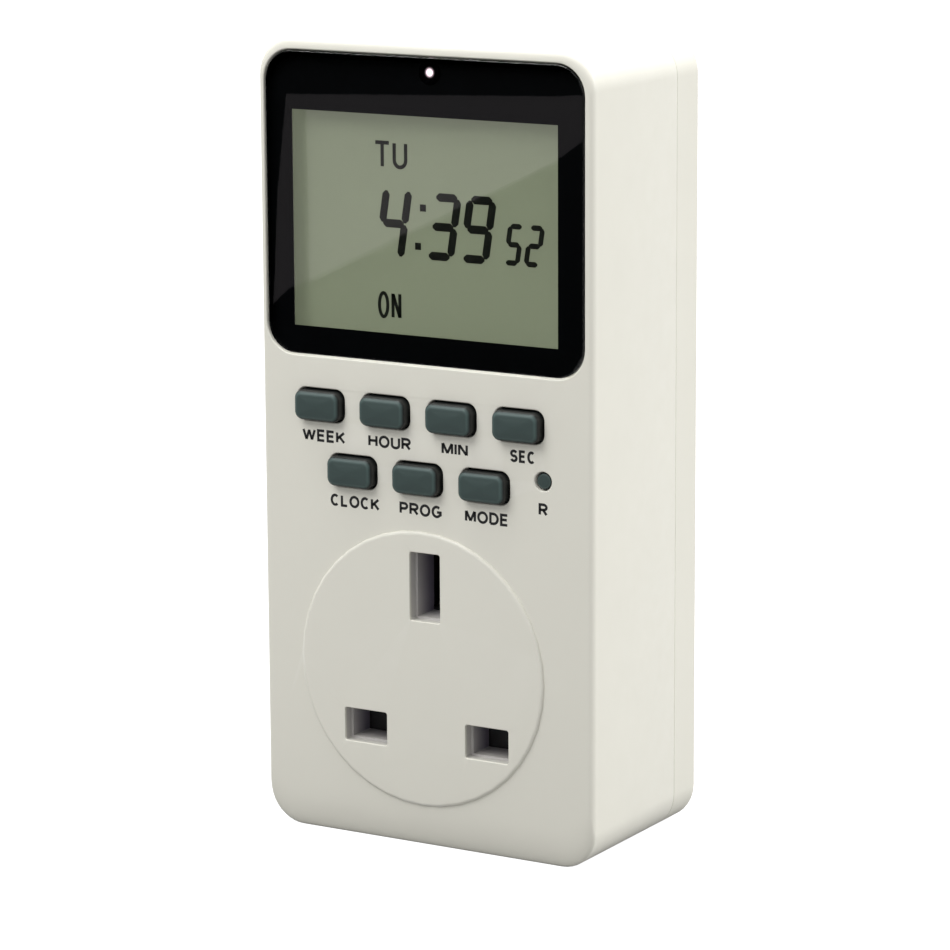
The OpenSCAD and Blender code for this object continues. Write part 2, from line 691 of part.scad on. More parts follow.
module dropper_resistor() color([0.55, 0.62, 0.68])
  translate([-20, power_front - 2.2 - body_d, mid + 40]) rotate([0, 90, 0]) {
    cylinder(r = 1.6, h = 10);
    cylinder(r = 1.9, h = 2.2);
    translate([0, 0, 7.8]) cylinder(r = 1.9, h = 2.2);
    translate([0, 0, -2]) cylinder(r = 0.4, h = 14);
    for (z = [-1.7, 11.7]) translate([0, 0, z]) rotate([-90, 0, 0]) cylinder(r = 0.4, h = 2.2);
  }

// ---- Leads --------------------------------------------------------------------------------

// A lead's route as [x, depth, height above the pattern], smoothed
function route(points) = smooth([for (p = points) [p[0], p[1] - body_d, p[2]]], 4);

module live_in_wire() color([0.42, 0.25, 0.14])
  bar(route([[15.8, 27, line_z], [20, 27, line_z], [24, 27, -7], [24.4, 27, 4], [24.4, 26.8, 16],
    [23, 24, 22.5], [19, 23.6, 27], [16, 25, 29.6], [15.6, 27.2, 30.2], [15.6, power_front, 30.2]]), lead_r);

module live_out_wire() color([0.42, 0.25, 0.14])
  bar(route([[22.15, carrier_floor - 0.4, line_z], [23.4, 23, -9.6], [24.4, 21.5, -2], [24.4, 21.5, 12],
    [20, 20, 21], [8, 20, 24.6], [-2, 20.4, 27], [-5.6, 23, 33], [-5.8, 27.2, 35],
    [-5.8, power_front, 35]]), lead_r);

module neutral_wire() color([0.15, 0.3, 0.6])
  bar(route([[-22.15, carrier_floor - 0.4, line_z], [-23.4, 23, -9.6], [-24.4, 21.5, -2], [-24.4, 22, 14],
    [-18, 22.4, 22.4], [0, 23, 23.6], [7.6, 24, 28], [9.2, 27.2, 31], [9.2, power_front, 31]]), lead_r);

// ---- Screws -------------------------------------------------------------------------------

module case_screws() color(tin_tint)
  for (at = case_screw_at) screw(at, body_d - 1.2, 2.6, 2, case_pilot, 16);
module control_board_screws() color(tin_tint)
  for (at = board_screw_at) screw(at, board_back + 1, 1.6, 1, small_pilot, 5);
module power_board_screws() color(tin_tint)
  for (at = power_screw_at) driven_back(at, power_front - 1, 1.6, 1, small_pilot, 4);
module carrier_screws() color(tin_tint)
  translate([0, 0, -mid]) for (at = carrier_screw_at) screw(at, 13, 1.9, 1, small_pilot, 7);

// ---- The assembly -------------------------------------------------------------------------

front_shell();
rear_cover();
display_lens();
lens_mask();
lcd_frame();
lcd_front_glass();
lcd_rear_glass();
lcd_reflector();
zebra_strips();
status_led();
control_board();
controller_blob();
clock_crystal();
chip_parts();
backup_cell();
cell_tabs();
keypad_mat();
key_week();
key_hour();
key_min();
key_sec();
key_clock();
key_prog();
key_mode();
key_reset();
socket_shutter();
shutter_spring();
contact_carrier();
live_contact();
neutral_contact();
earth_contact();
live_pin();
neutral_pin();
earth_pin();
live_pin_sleeve();
neutral_pin_sleeve();
power_board();
relay_base();
relay_cover();
relay_yoke();
relay_bobbin();
relay_winding();
relay_armature();
relay_contact();
film_capacitor();
electrolytic_capacitor();
varistor();
rectifier_diodes();
dropper_resistor();
ribbon_cable();
live_in_wire();
live_out_wire();
neutral_wire();
case_screws();
control_board_screws();
power_board_screws();
carrier_screws();
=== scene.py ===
import bmesh
import bpy
import numpy as np
from mathutils import Matrix, Vector
from mathutils.geometry import delaunay_2d_cdt


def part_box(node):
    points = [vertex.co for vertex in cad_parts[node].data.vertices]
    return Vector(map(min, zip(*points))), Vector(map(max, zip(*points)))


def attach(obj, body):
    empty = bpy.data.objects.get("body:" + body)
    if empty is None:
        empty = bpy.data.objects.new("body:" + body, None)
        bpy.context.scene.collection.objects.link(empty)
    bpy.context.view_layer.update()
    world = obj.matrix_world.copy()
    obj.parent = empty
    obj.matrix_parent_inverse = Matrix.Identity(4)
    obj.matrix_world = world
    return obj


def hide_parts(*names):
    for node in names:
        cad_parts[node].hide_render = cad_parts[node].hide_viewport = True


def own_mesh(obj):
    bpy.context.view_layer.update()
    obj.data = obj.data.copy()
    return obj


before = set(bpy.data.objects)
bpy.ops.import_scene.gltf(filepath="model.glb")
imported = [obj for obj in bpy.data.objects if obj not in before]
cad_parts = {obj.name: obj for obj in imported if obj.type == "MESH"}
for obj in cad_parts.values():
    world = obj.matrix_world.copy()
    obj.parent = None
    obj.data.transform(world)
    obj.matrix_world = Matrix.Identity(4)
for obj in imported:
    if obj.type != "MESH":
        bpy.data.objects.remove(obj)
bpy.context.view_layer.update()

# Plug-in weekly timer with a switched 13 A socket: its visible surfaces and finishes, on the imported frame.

# ---- Front shell ----------------------------------------------------------------------------
# The front half of the casing: ivory ABS, injection moulded in one piece with the lens pocket, the
# key holes, the raised socket disc and its three apertures. It carries every board and key.

MM = 0.001
shell_low, shell_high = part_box("front_shell")
disc_out = 0.4 * MM
front = shell_low.y + disc_out
seam = shell_high.y - front
width = shell_high.x - shell_low.x
height = shell_high.z - shell_low.z
middle = (shell_high.z + shell_low.z) / 2
body_corner = 6.1 * MM
soft_edge = 0.9 * MM
wall = 2 * MM


def outline(w, h, r, x=0.0, z=0.0, steps=10):
    """Points round a rectangle w by h whose corners are quarter circles of radius r, centred on x, z."""
    turns = np.radians(np.linspace(0, 90, steps + 1) + np.array([[0], [90], [180], [270]]))
    corner_x = (w / 2 - r) * np.array([[1], [-1], [-1], [1]])
    corner_z = (h / 2 - r) * np.array([[1], [1], [-1], [-1]])
    loop = np.stack([x + corner_x + r * np.cos(turns), z + corner_z + r * np.sin(turns)], -1)
    return loop.reshape(-1, 2)


def disc(r, x, z, steps=10):
    """Points round a circle, as many as outline gives, so that a circle can be joined to a rectangle."""
    return outline(2 * r, 2 * r, r, x, z, steps)


def placed(loop, depth):
    """A loop of x, z points set at a depth behind the front face."""
    return np.column_stack([loop[:, 0], np.full(len(loop), front + depth), loop[:, 1]])


def skin(rings):
    """The surface through a row of closed loops, each given as (points, depth). Corner j of row i is point j
    of loop i, and a quad joins corners j and j + 1 of each row to those of the next."""
    grid = np.stack([placed(loop, depth) for loop, depth in rings])
    rows, around = grid.shape[:2]
    near = np.arange((rows - 1) * around).reshape(rows - 1, around)
    side = np.roll(near, -1, axis=1)
    quads = np.stack([near, side, side + around, near + around], -1).reshape(-1, 4)
    return grid.reshape(-1, 3), quads.tolist()


def flat(outer, holes, depth):
    """The flat area inside one loop and outside the others, as triangles between the loops' own points."""
    loops = [outer, *holes]
    ends = np.cumsum([len(loop) for loop in loops])
    areas = [list(range(end - len(loop), end)) for loop, end in zip(loops, ends)]
    # the search works in millimetres, where its tolerance is well below the smallest step
    points = [Vector(p) for p in np.vstack(loops) / MM]
    found = delaunay_2d_cdt(points, [], areas, 1, 1e-4)
    corners = np.array([tuple(v) for v in found[0]]) * MM
    # a triangle that lies in the outer loop alone is kept, one that a hole covers as well is not
    return placed(corners, depth), [list(f) for f, inside in zip(found[2], found[5]) if list(inside) == [0]]


def mouth(grown, face, radius, floor, steps=4):
    """Rings of an opening: a quarter-round edge of the radius at the face, then straight down to the floor.
    grown(g) gives the opening's outline made larger by g."""
    turns = np.radians(np.linspace(0, 90, steps + 1))
    inward = np.sign(floor - face)
    rounded = [(grown(radius * (1 - np.sin(a))), face + inward * radius * (1 - np.cos(a))) for a in turns]
    return rounded + [(grown(0), floor)]


def post(x, z, r, bore, base, top, floor):
    """A round post with a blind hole in its end, closed all round, from its base to its top."""
    edge = 0.15 * MM * np.sign(base - top)
    rings = [(disc(1e-5, x, z), base), (disc(r, x, z), base), (disc(r, x, z), top + edge),
             (disc(r - abs(edge), x, z), top), (disc(bore, x, z), top), (disc(bore, x, z), floor),
             (disc(1e-5, x, z), floor)]
    return skin(rings)


def make_piece(name, patches, finish, sharp=38.0):
    """One mesh from patches of corners and faces: shared edges are welded, faces turned outwards, and
    normals weighted by area, so that flat faces stay flat between their rounded edges."""
    corners, faces = [], []
    for points, polygons in patches:
        faces += [[len(corners) + i for i in p] for p in polygons]
        corners += points.tolist()
    mesh = bpy.data.meshes.new(name)
    mesh.from_pydata(corners, [], faces)
    shaped = bmesh.new()
    shaped.from_mesh(mesh)
    bmesh.ops.remove_doubles(shaped, verts=shaped.verts, dist=2e-6)
    bmesh.ops.dissolve_degenerate(shaped, edges=shaped.edges, dist=1e-7)
    bmesh.ops.recalc_face_normals(shaped, faces=shaped.faces)
    shaped.to_mesh(mesh)
    shaped.free()
    mesh.shade_smooth()
    mesh.set_sharp_from_angle(angle=np.radians(sharp))
    mesh.materials.append(finish)
    piece = bpy.data.objects.new(name, mesh)
    bpy.context.scene.collection.objects.link(piece)
    weigh = piece.modifiers.new("flat faces first", "WEIGHTED_NORMAL")
    weigh.keep_sharp = True
    weigh.weight = 60
    return piece


def node(tree, kind, **settings):
    """A new shader node. A setting whose name, with spaces for underscores, is an input sets that input, and
    any other sets the node."""
    made = tree.nodes.new(kind)
    for name, value in settings.items():
        label = name.replace("_", " ")
        if label in made.inputs:
            made.inputs[label].default_value = value
        else:
            setattr(made, name, value)
    return made


def grain_group():
    """Shared effect: fine surface grain. Two sizes of noise vary the colour and the roughness a little
    and give a height for the bump."""
    group = bpy.data.node_groups.new("surface_grain", "ShaderNodeTree")
    for label, kind in (("Vector", "Vector"), ("Colour", "Color"), ("Scale", "Float"), ("Tint", "Float"),
                        ("Roughness", "Float"), ("Spread", "Float")):
        group.interface.new_socket(name=label, in_out="INPUT", socket_type=f"NodeSocket{kind}")
    for label, kind in (("Colour", "Color"), ("Roughness", "Float"), ("Height", "Float")):
        group.interface.new_socket(name=label, in_out="OUTPUT", socket_type=f"NodeSocket{kind}")
    given = group.nodes.new("NodeGroupInput")
    result = group.nodes.new("NodeGroupOutput")
    link = group.links.new
    fine = node(group, "ShaderNodeTexNoise", Detail=2.0)
    link(given.outputs["Vector"], fine.inputs["Vector"])
    link(given.outputs["Scale"], fine.inputs["Scale"])
    coarse = node(group, "ShaderNodeTexNoise", Detail=3.0)
    wide = node(group, "ShaderNodeMath", operation="MULTIPLY")
    wide.inputs[1].default_value = 0.04
    link(given.outputs["Scale"], wide.inputs[0])
    link(given.outputs["Vector"], coarse.inputs["Vector"])
    link(wide.outputs[0], coarse.inputs["Scale"])
    shade = node(group, "ShaderNodeMapRange", From_Min=0.3, From_Max=0.7, To_Max=1.0)
    less = node(group, "ShaderNodeMath", operation="SUBTRACT")
    less.inputs[0].default_value = 1.0
    link(given.outputs["Tint"], less.inputs[1])
    link(less.outputs[0], shade.inputs["To Min"])
    link(coarse.outputs["Fac"], shade.inputs["Value"])
    tinted = node(group, "ShaderNodeVectorMath", operation="SCALE")
    link(given.outputs["Colour"], tinted.inputs["Vector"])
    link(shade.outputs["Result"], tinted.inputs["Scale"])
    link(tinted.outputs["Vector"], result.inputs["Colour"])
    centred = node(group, "ShaderNodeMath", operation="SUBTRACT")
    centred.inputs[1].default_value = 0.5
    link(coarse.outputs["Fac"], centred.inputs[0])
    rough = node(group, "ShaderNodeMath", operation="MULTIPLY_ADD")
    link(centred.outputs[0], rough.inputs[0])
    link(given.outputs["Spread"], rough.inputs[1])
    link(given.outputs["Roughness"], rough.inputs[2])
    link(rough.outputs[0], result.inputs["Roughness"])
    link(fine.outputs["Fac"], result.inputs["Height"])
    return group


def edge_marks_group():
    """Shared effect: handling and painted highlight. Outside edges, where the surface is sharply convex,
    are lightened, as rubbed wear, and where Wear is large as a painted highlight; hollows hold a little dust."""
    group = bpy.data.node_groups.new("edge_wear_highlight_and_dust", "ShaderNodeTree")
    for label, kind in (("Vector", "Vector"), ("Colour", "Color"), ("Wear", "Float"), ("Dust", "Float")):
        group.interface.new_socket(name=label, in_out="INPUT", socket_type=f"NodeSocket{kind}")
    group.interface.new_socket(name="Colour", in_out="OUTPUT", socket_type="NodeSocketColor")
    given = group.nodes.new("NodeGroupInput")
    result = group.nodes.new("NodeGroupOutput")
    link = group.links.new
    shape = group.nodes.new("ShaderNodeNewGeometry")
    patchy = node(group, "ShaderNodeTexNoise", Scale=420.0, Detail=4.0)
    link(given.outputs["Vector"], patchy.inputs["Vector"])
    convex = node(group, "ShaderNodeMapRange", From_Min=0.52, From_Max=0.62)
    hollow = node(group, "ShaderNodeMapRange", From_Min=0.48, From_Max=0.40)
    link(shape.outputs["Pointiness"], convex.inputs["Value"])
    link(shape.outputs["Pointiness"], hollow.inputs["Value"])
    colour = given.outputs["Colour"]
    # the lighter edge colour stands for rubbed wear and, at a large Wear, for a painted highlight
    lightened_edge_colour, dusty = (0.95, 0.94, 0.9, 1), (0.42, 0.4, 0.36, 1)
    for mask, amount, towards in ((convex, "Wear", lightened_edge_colour), (hollow, "Dust", dusty)):
        broken = node(group, "ShaderNodeMath", operation="MULTIPLY")
        link(mask.outputs["Result"], broken.inputs[0])
        link(patchy.outputs["Fac"], broken.inputs[1])
        share = node(group, "ShaderNodeMath", operation="MULTIPLY")
        link(broken.outputs[0], share.inputs[0])
        link(given.outputs[amount], share.inputs[1])
        mixed = node(group, "ShaderNodeMix", data_type="RGBA")
        mixed.inputs[7].default_value = towards
        link(share.outputs[0], mixed.inputs[0])
        link(colour, mixed.inputs[6])
        colour = mixed.outputs[2]
    link(colour, result.inputs["Colour"])
    return group


surface_grain = grain_group()
edge_wear_highlight_and_dust = edge_marks_group()


def finish(name, colour, roughness, scale=1500.0, tint=0.03, spread=0.08, relief=0.000008, edge_lightening=0.0, dust=0.0,
           **surface):
    """A finish for one kind of surface: the two shared effects feed a Principled shader, whose own constant
    settings, such as Metallic or Coat Weight, are given by name."""
    material = bpy.data.materials.new(name)
    material.use_nodes = True
    tree = material.node_tree
    shader = tree.nodes["Principled BSDF"]
    for label, value in surface.items():
        shader.inputs[label.replace("_", " ")].default_value = value
    link = tree.links.new
    spot = tree.nodes.new("ShaderNodeTexCoord").outputs["Object"]
    grain = node(tree, "ShaderNodeGroup", node_tree=surface_grain)
    for label, value in (("Colour", (*colour, 1)), ("Scale", scale), ("Tint", tint), ("Roughness", roughness),
                         ("Spread", spread)):
        grain.inputs[label].default_value = value
    link(spot, grain.inputs["Vector"])
    edge_marks = node(tree, "ShaderNodeGroup", node_tree=edge_wear_highlight_and_dust)
    edge_marks.inputs["Wear"].default_value = edge_lightening
    edge_marks.inputs["Dust"].default_value = dust
    link(spot, edge_marks.inputs["Vector"])
    link(grain.outputs["Colour"], edge_marks.inputs["Colour"])
    link(edge_marks.outputs["Colour"], shader.inputs["Base Color"])
    link(grain.outputs["Roughness"], shader.inputs["Roughness"])
    bump = node(tree, "ShaderNodeBump", Strength=1.0, Distance=relief)
    link(grain.outputs["Height"], bump.inputs["Height"])
    link(bump.outputs["Normal"], shader.inputs["Normal"])
    return material


ivory_colour = (0.80, 0.785, 0.70)
ivory = finish("ivory_moulding", ivory_colour, 0.42, scale=2600.0, tint=0.012, spread=0.1,
               relief=0.000006, edge_lightening=0.25, dust=0.12)

# Inside the apertures the same plastic gets painted shade, a lilac grey that darkens with depth. The
# painted shade starts just behind the face, within a circle round all three.
# on the front shell a large Wear paints a highlight along the convex edges, such as the socket disc's rim
ivory_front = finish("ivory_front_moulding", ivory_colour, 0.42, scale=2600.0, tint=0.012, spread=0.1,
                     relief=0.000006, edge_lightening=0.8, dust=0.0)
aperture_shade_tree = ivory_front.node_tree
aperture_shade_shader = aperture_shade_tree.nodes["Principled BSDF"]
aperture_shade_place = node(aperture_shade_tree, "ShaderNodeSeparateXYZ")
aperture_shade_deep = node(aperture_shade_tree, "ShaderNodeMapRange", From_Min=front + 0.1 * MM, From_Max=front + 5.5 * MM,
                 To_Min=0.32, To_Max=0.96)
aperture_shade_near = node(aperture_shade_tree, "ShaderNodeMath", operation="GREATER_THAN")
aperture_shade_near.inputs[1].default_value = front + 0.06 * MM
aperture_shade_flat = node(aperture_shade_tree, "ShaderNodeVectorMath", operation="MULTIPLY")
aperture_shade_flat.inputs[1].default_value = (1, 0, 1)
aperture_shade_far = node(aperture_shade_tree, "ShaderNodeVectorMath", operation="LENGTH")
aperture_shade_inside = node(aperture_shade_tree, "ShaderNodeMath", operation="LESS_THAN")
aperture_shade_inside.inputs[1].default_value = 24 * MM
aperture_shade_mask = node(aperture_shade_tree, "ShaderNodeMath", operation="MULTIPLY")
aperture_shade_share = node(aperture_shade_tree, "ShaderNodeMath", operation="MULTIPLY")
aperture_shade_mix = node(aperture_shade_tree, "ShaderNodeMix", data_type="RGBA")
# the lilac grey of the painted shade inside the apertures
aperture_shade_mix.inputs[7].default_value = (0.19, 0.17, 0.235, 1)
aperture_shade_shape = aperture_shade_tree.nodes.new("ShaderNodeNewGeometry")
aperture_shade_normal = node(aperture_shade_tree, "ShaderNodeSeparateXYZ")
# painted shade: a sill that faces upwards, towards the light, is darkened less than the other walls
aperture_shade_sill = node(aperture_shade_tree, "ShaderNodeMapRange", From_Min=0.2, From_Max=0.9, To_Min=1.0, To_Max=0.62)
aperture_shade_sides = node(aperture_shade_tree, "ShaderNodeMath", operation="MULTIPLY")
aperture_shade_link = aperture_shade_tree.links.new
aperture_shade_link(aperture_shade_shape.outputs["Normal"], aperture_shade_normal.inputs[0])
aperture_shade_link(aperture_shade_normal.outputs["Z"], aperture_shade_sill.inputs["Value"])
aperture_shade_spot = aperture_shade_tree.nodes["Texture Coordinate"].outputs["Object"]
aperture_shade_link(aperture_shade_spot, aperture_shade_place.inputs[0])
aperture_shade_link(aperture_shade_place.outputs["Y"], aperture_shade_deep.inputs["Value"])
aperture_shade_link(aperture_shade_place.outputs["Y"], aperture_shade_near.inputs[0])
aperture_shade_link(aperture_shade_spot, aperture_shade_flat.inputs[0])
aperture_shade_link(aperture_shade_flat.outputs["Vector"], aperture_shade_far.inputs[0])
aperture_shade_link(aperture_shade_far.outputs["Value"], aperture_shade_inside.inputs[0])
aperture_shade_link(aperture_shade_near.outputs[0], aperture_shade_mask.inputs[0])
aperture_shade_link(aperture_shade_inside.outputs[0], aperture_shade_mask.inputs[1])
aperture_shade_link(aperture_shade_deep.outputs["Result"], aperture_shade_share.inputs[0])
aperture_shade_link(aperture_shade_mask.outputs[0], aperture_shade_share.inputs[1])
aperture_shade_link(aperture_shade_share.outputs[0], aperture_shade_sides.inputs[0])
aperture_shade_link(aperture_shade_sill.outputs["Result"], aperture_shade_sides.inputs[1])
aperture_shade_link(aperture_shade_sides.outputs[0], aperture_shade_mix.inputs[0])
aperture_shade_link(aperture_shade_shader.inputs["Base Color"].links[0].from_socket, aperture_shade_mix.inputs[6])
aperture_shade_link(aperture_shade_mix.outputs[2], aperture_shade_shader.inputs["Base Color"])


def body_outline(inset):
    """The casing's outline, drawn inwards by inset."""
    return outline(width - 2 * inset, height - 2 * inset, body_corner - inset, 0, middle)


def grower(w, h, r, x, z):
    """A function that gives this opening's outline, made larger all round by its argument."""
    return lambda g: outline(w + 2 * g, h + 2 * g, r + g, x, z)


lens_low, lens_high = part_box("display_lens")
lens_gap = 0.2 * MM
lens_corner = 4.8 * MM
lens_w, lens_h = lens_high.x - lens_low.x, lens_high.z - lens_low.z
lens_x, lens_middle = (lens_high.x + lens_low.x) / 2, (lens_high.z + lens_low.z) / 2
lens_floor = lens_high.y - front + 0.15 * MM
ledge_back = 4 * MM
window_middle = middle + 35.05 * MM
lamp_x, lamp_z = 0.6 * MM, middle + 58.95 * MM
pocket = grower(lens_w + 2 * lens_gap, lens_h + 2 * lens_gap, lens_corner + lens_gap, lens_x, lens_middle)
opening = outline(51.6 * MM, 37.6 * MM, 0.4 * MM, 0, window_middle)
lamp_hole = disc(1.7 * MM, lamp_x, lamp_z)

key_names = ("week", "hour", "min", "sec", "clock", "prog", "mode")
key_gap = 0.3 * MM
key_corner = 1.3 * MM
key_flange = 0.75 * MM


def key_place(name):
    """The middle of a key, and its size without the hidden flange, from its CAD solid."""
    low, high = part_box(f"key_{name}")
    size = high - low
    return (low.x + high.x) / 2, (low.z + high.z) / 2, size.x - 2 * key_flange, size.z - 2 * key_flange


key_holes = []
for name in key_names:
    key_x, key_z, key_w, key_h = key_place(name)
    key_holes.append(grower(key_w + 2 * key_gap, key_h + 2 * key_gap, key_corner + key_gap, key_x, key_z))
reset_low, reset_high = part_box("key_reset")
reset_x, reset_z = (reset_low.x + reset_high.x) / 2, (reset_low.z + reset_high.z) / 2
key_holes.append(lambda g: disc(1.5 * MM + g, reset_x, reset_z))

pin_x, pin_z = 11.115 * MM, 11.115 * MM
disc_r, disc_x, disc_z = 22.2 * MM, -0.9 * MM, -1 * MM
tunnel = 6.5 * MM
step_in, step_deep = 0.3 * MM, 1.5 * MM
apertures = [grower(5.5 * MM, 11 * MM, 0.4 * MM, 0, pin_z + 1.2 * MM)]
apertures += [grower(7.8 * MM, 5.4 * MM, 0.4 * MM, side * pin_x, -pin_z - 0.4 * MM) for side in (-1, 1)]

key_edge, pocket_edge, aperture_edge, disc_edge = 0.22 * MM, 0.2 * MM, 0.15 * MM, 0.6 * MM
low_hollow_top = middle + 12.2 * MM
low_hollow_foot = middle - height / 2 + wall + 0.3 * MM
low_hollow = outline(width - 2 * wall - 0.6 * MM, low_hollow_top - low_hollow_foot, 3.5 * MM, 0,
                     (low_hollow_top + low_hollow_foot) / 2)

edge_turns = np.radians(np.linspace(0, 90, 9))
# the front face rolls back a little over its lowest few millimetres, and less at its top
low_roll, top_roll = 6 * MM, 1.6 * MM


def front_outline(side, top, low):
    """The casing's outline, drawn inwards by side at the left and right, by top above and by low below."""
    return outline(width - 2 * side, height - top - low, body_corner - side, 0, middle + (low - top) / 2)


outer_rings = []
for a in edge_turns:
    share = 1 - np.sin(a)
    ring = front_outline(soft_edge * share, top_roll * share, low_roll * share)
    outer_rings.append((ring, soft_edge * (1 - np.cos(a))))
front_flat = front_outline(soft_edge, top_roll, low_roll)
seam_edge, seam_in = 0.15 * MM, 0.13 * MM
outer_rings += [(body_outline(0), seam - seam_edge), (body_outline(seam_in), seam),
                (body_outline(wall), seam), (body_outline(wall), ledge_back)]
disc_rings = [(disc(disc_r - disc_edge * (1 - np.cos(a)), disc_x, disc_z), -disc_out * np.sin(a))
              for a in edge_turns[::2]]
shell = [skin(outer_rings), skin(disc_rings), skin(mouth(pocket, 0.0, pocket_edge, lens_floor))]
shell += [skin([(loop, lens_floor), (loop, ledge_back)]) for loop in (opening, lamp_hole)]
shell += [skin(mouth(hole, 0.0, key_edge, wall)) for hole in key_holes]
collars = []
for aperture in apertures:
    # each way in narrows a little at a step, part way down
    walled = mouth(aperture, -disc_out, aperture_edge, step_deep)
    walled += [(aperture(-step_in), step_deep + 0.1 * MM), (aperture(-step_in), tunnel)]
    collar = aperture(1.2 * MM)
    shell.append(skin(walled + [(collar, tunnel), (collar, wall)]))
    collars.append(collar)
front_ways = [pocket(pocket_edge), disc(disc_r, disc_x, disc_z), *[hole(key_edge) for hole in key_holes]]
shell.append(flat(front_flat, front_ways, 0.0))
shell.append(flat(disc(disc_r - disc_edge, disc_x, disc_z), [a(aperture_edge) for a in apertures], -disc_out))
shell.append(flat(pocket(0), [opening, lamp_hole], lens_floor))
shell.append(flat(body_outline(wall), [opening, lamp_hole, low_hollow], ledge_back))
shell.append(skin([(low_hollow, ledge_back), (low_hollow, wall)]))
shell.append(flat(low_hollow, [*[hole(0) for hole in key_holes], *collars], wall))

case_screws_at = [(side * 24.5 * MM, middle + up * MM) for side in (-1, 1) for up in (59, -58.5)]
board_posts_up = ((24.8, 11.4), (24.8, -6.8), (14, 58.3))
board_posts_at = [(side * x * MM, middle + up * MM) for side in (-1, 1) for x, up in board_posts_up]
board_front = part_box("control_board")[0].y - front
carrier_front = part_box("contact_carrier")[0].y - front
posts = [(x, z, 2.9 * MM, 1.3 * MM, seam, seam - 14 * MM) for x, z in case_screws_at]
posts += [(x, z, 2.1 * MM, 0.8 * MM, board_front, 4.5 * MM) for x, z in board_posts_at]
posts += [(side * 16 * MM, 9 * MM, 2.4 * MM, 0.8 * MM, carrier_front, 3.2 * MM) for side in (-1, 1)]
for x, z, r, bore, top, floor in posts:
    backed = ledge_back if z > low_hollow_top - r else wall
    shell.append(post(x, z, r, bore, backed - 0.2 * MM, top, floor))

front_shell = make_piece("front_shell_moulding", shell, ivory_front)
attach(front_shell, "casing")
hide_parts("front_shell")

# ---- Keys -----------------------------------------------------------------------------------
# Seven soft keys and a reset key, moulded in slate-grey silicone rubber on one mat behind the shell.
# Each stands out through its own hole, with rounded shoulders and a slightly pillowed top.

slate_rubber = finish("slate_rubber", (0.040, 0.066, 0.062), 0.5, scale=3200.0, tint=0.06, spread=0.12,
                      relief=0.000010, edge_lightening=0.0, dust=0.0)
# painted highlight and shade: the rim of each key is painted paler, and painted shadow makes its skirt nearly
# black
key_light_tree = slate_rubber.node_tree
key_light_shader = key_light_tree.nodes["Principled BSDF"]
key_light_shape = key_light_tree.nodes.new("ShaderNodeNewGeometry")
key_light_normal = node(key_light_tree, "ShaderNodeSeparateXYZ")
key_light_facing = node(key_light_tree, "ShaderNodeMath", operation="MULTIPLY")
key_light_facing.inputs[1].default_value = -1
key_painted_light_tone = key_light_tree.nodes.new("ShaderNodeValToRGB")
# tones by how squarely the surface faces forward: painted shadow on the skirt, painted highlight on the rim
key_painted_light_tones = ((0.0, 0.04), (0.5, 0.06), (0.78, 0.75), (0.9, 1.0), (0.985, 0.62))
key_painted_light_tone.color_ramp.elements[1].position = key_painted_light_tones[1][0]
for place, _ in key_painted_light_tones[2:]:
    key_painted_light_tone.color_ramp.elements.new(place)
for element, (place, tone) in zip(key_painted_light_tone.color_ramp.elements, key_painted_light_tones):
    element.color = (tone, tone, tone, 1)
key_painted_light_mix = node(key_light_tree, "ShaderNodeVectorMath", operation="MULTIPLY")
key_painted_light_scale = node(key_light_tree, "ShaderNodeVectorMath", operation="SCALE")
key_painted_light_scale.inputs["Scale"].default_value = 1.55
key_light_link = key_light_tree.links.new
key_light_link(key_light_shape.outputs["Normal"], key_light_normal.inputs[0])
key_light_link(key_light_normal.outputs["Y"], key_light_facing.inputs[0])
key_light_link(key_light_facing.outputs[0], key_painted_light_tone.inputs["Fac"])
key_light_link(key_light_shader.inputs["Base Color"].links[0].from_socket, key_painted_light_mix.inputs[0])
key_light_link(key_painted_light_tone.outputs["Color"], key_painted_light_mix.inputs[1])
key_light_link(key_painted_light_mix.outputs["Vector"], key_painted_light_scale.inputs[0])
key_light_link(key_painted_light_scale.outputs["Vector"], key_light_shader.inputs["Base Color"])
key_round = 1.0 * MM
key_pillow = 0.14 * MM
flange_front, flange_back, key_foot, stud_foot = 3.6 * MM, 5 * MM, 6.4 * MM, 7.4 * MM
for name in key_names:
    key_x, key_z, key_w, key_h = key_place(name)
    key_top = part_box(f"key_{name}")[0].y - front

    def key_ring(inset, depth):
        """The key's outline drawn inwards by inset, at a depth."""
        corner = max(key_corner - 0.75 * inset, 0.1 * MM)
        return outline(key_w - 2 * inset, key_h - 2 * inset, corner, key_x, key_z), depth

    flange = outline(key_w + 2 * key_flange, key_h + 2 * key_flange, 1.6 * MM, key_x, key_z)
    stud = disc(1.5 * MM, key_x, key_z)
    rings = [(disc(1e-5, key_x, key_z), stud_foot), (stud, stud_foot), (stud, key_foot),
             key_ring(0, key_foot), key_ring(0, flange_back), (flange, flange_back), (flange, flange_front),
             key_ring(0, flange_front)]
    rings += [key_ring(key_round * (1 - np.cos(a)), key_top + key_pillow + 0.8 * MM * (1 - np.sin(a)))
              for a in edge_turns]
    # the pillowed top rises from the shoulder, t = 1, to the middle, t = 0, as t squared
    shoulder = rings[-1][0]
    centre = np.array([key_x, key_z])
    rings += [(centre + (shoulder - centre) * t, key_top + key_pillow * t ** 2)
              for t in (0.85, 0.65, 0.45, 0.25, 0.02)]
    key = make_piece(f"key_cap_{name}", [skin(rings)], slate_rubber, 42)
    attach(key, f"key_{name}")
    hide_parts(f"key_{name}")

reset_r, reset_stud, reset_flange = 1.25 * MM, 1.1 * MM, 2.3 * MM
reset_profile = [(1e-5, stud_foot), (reset_stud, stud_foot), (reset_stud, key_foot), (reset_r, key_foot),
                 (reset_r, flange_back), (reset_flange, flange_back), (reset_flange, flange_front),
                 (reset_r, flange_front)]
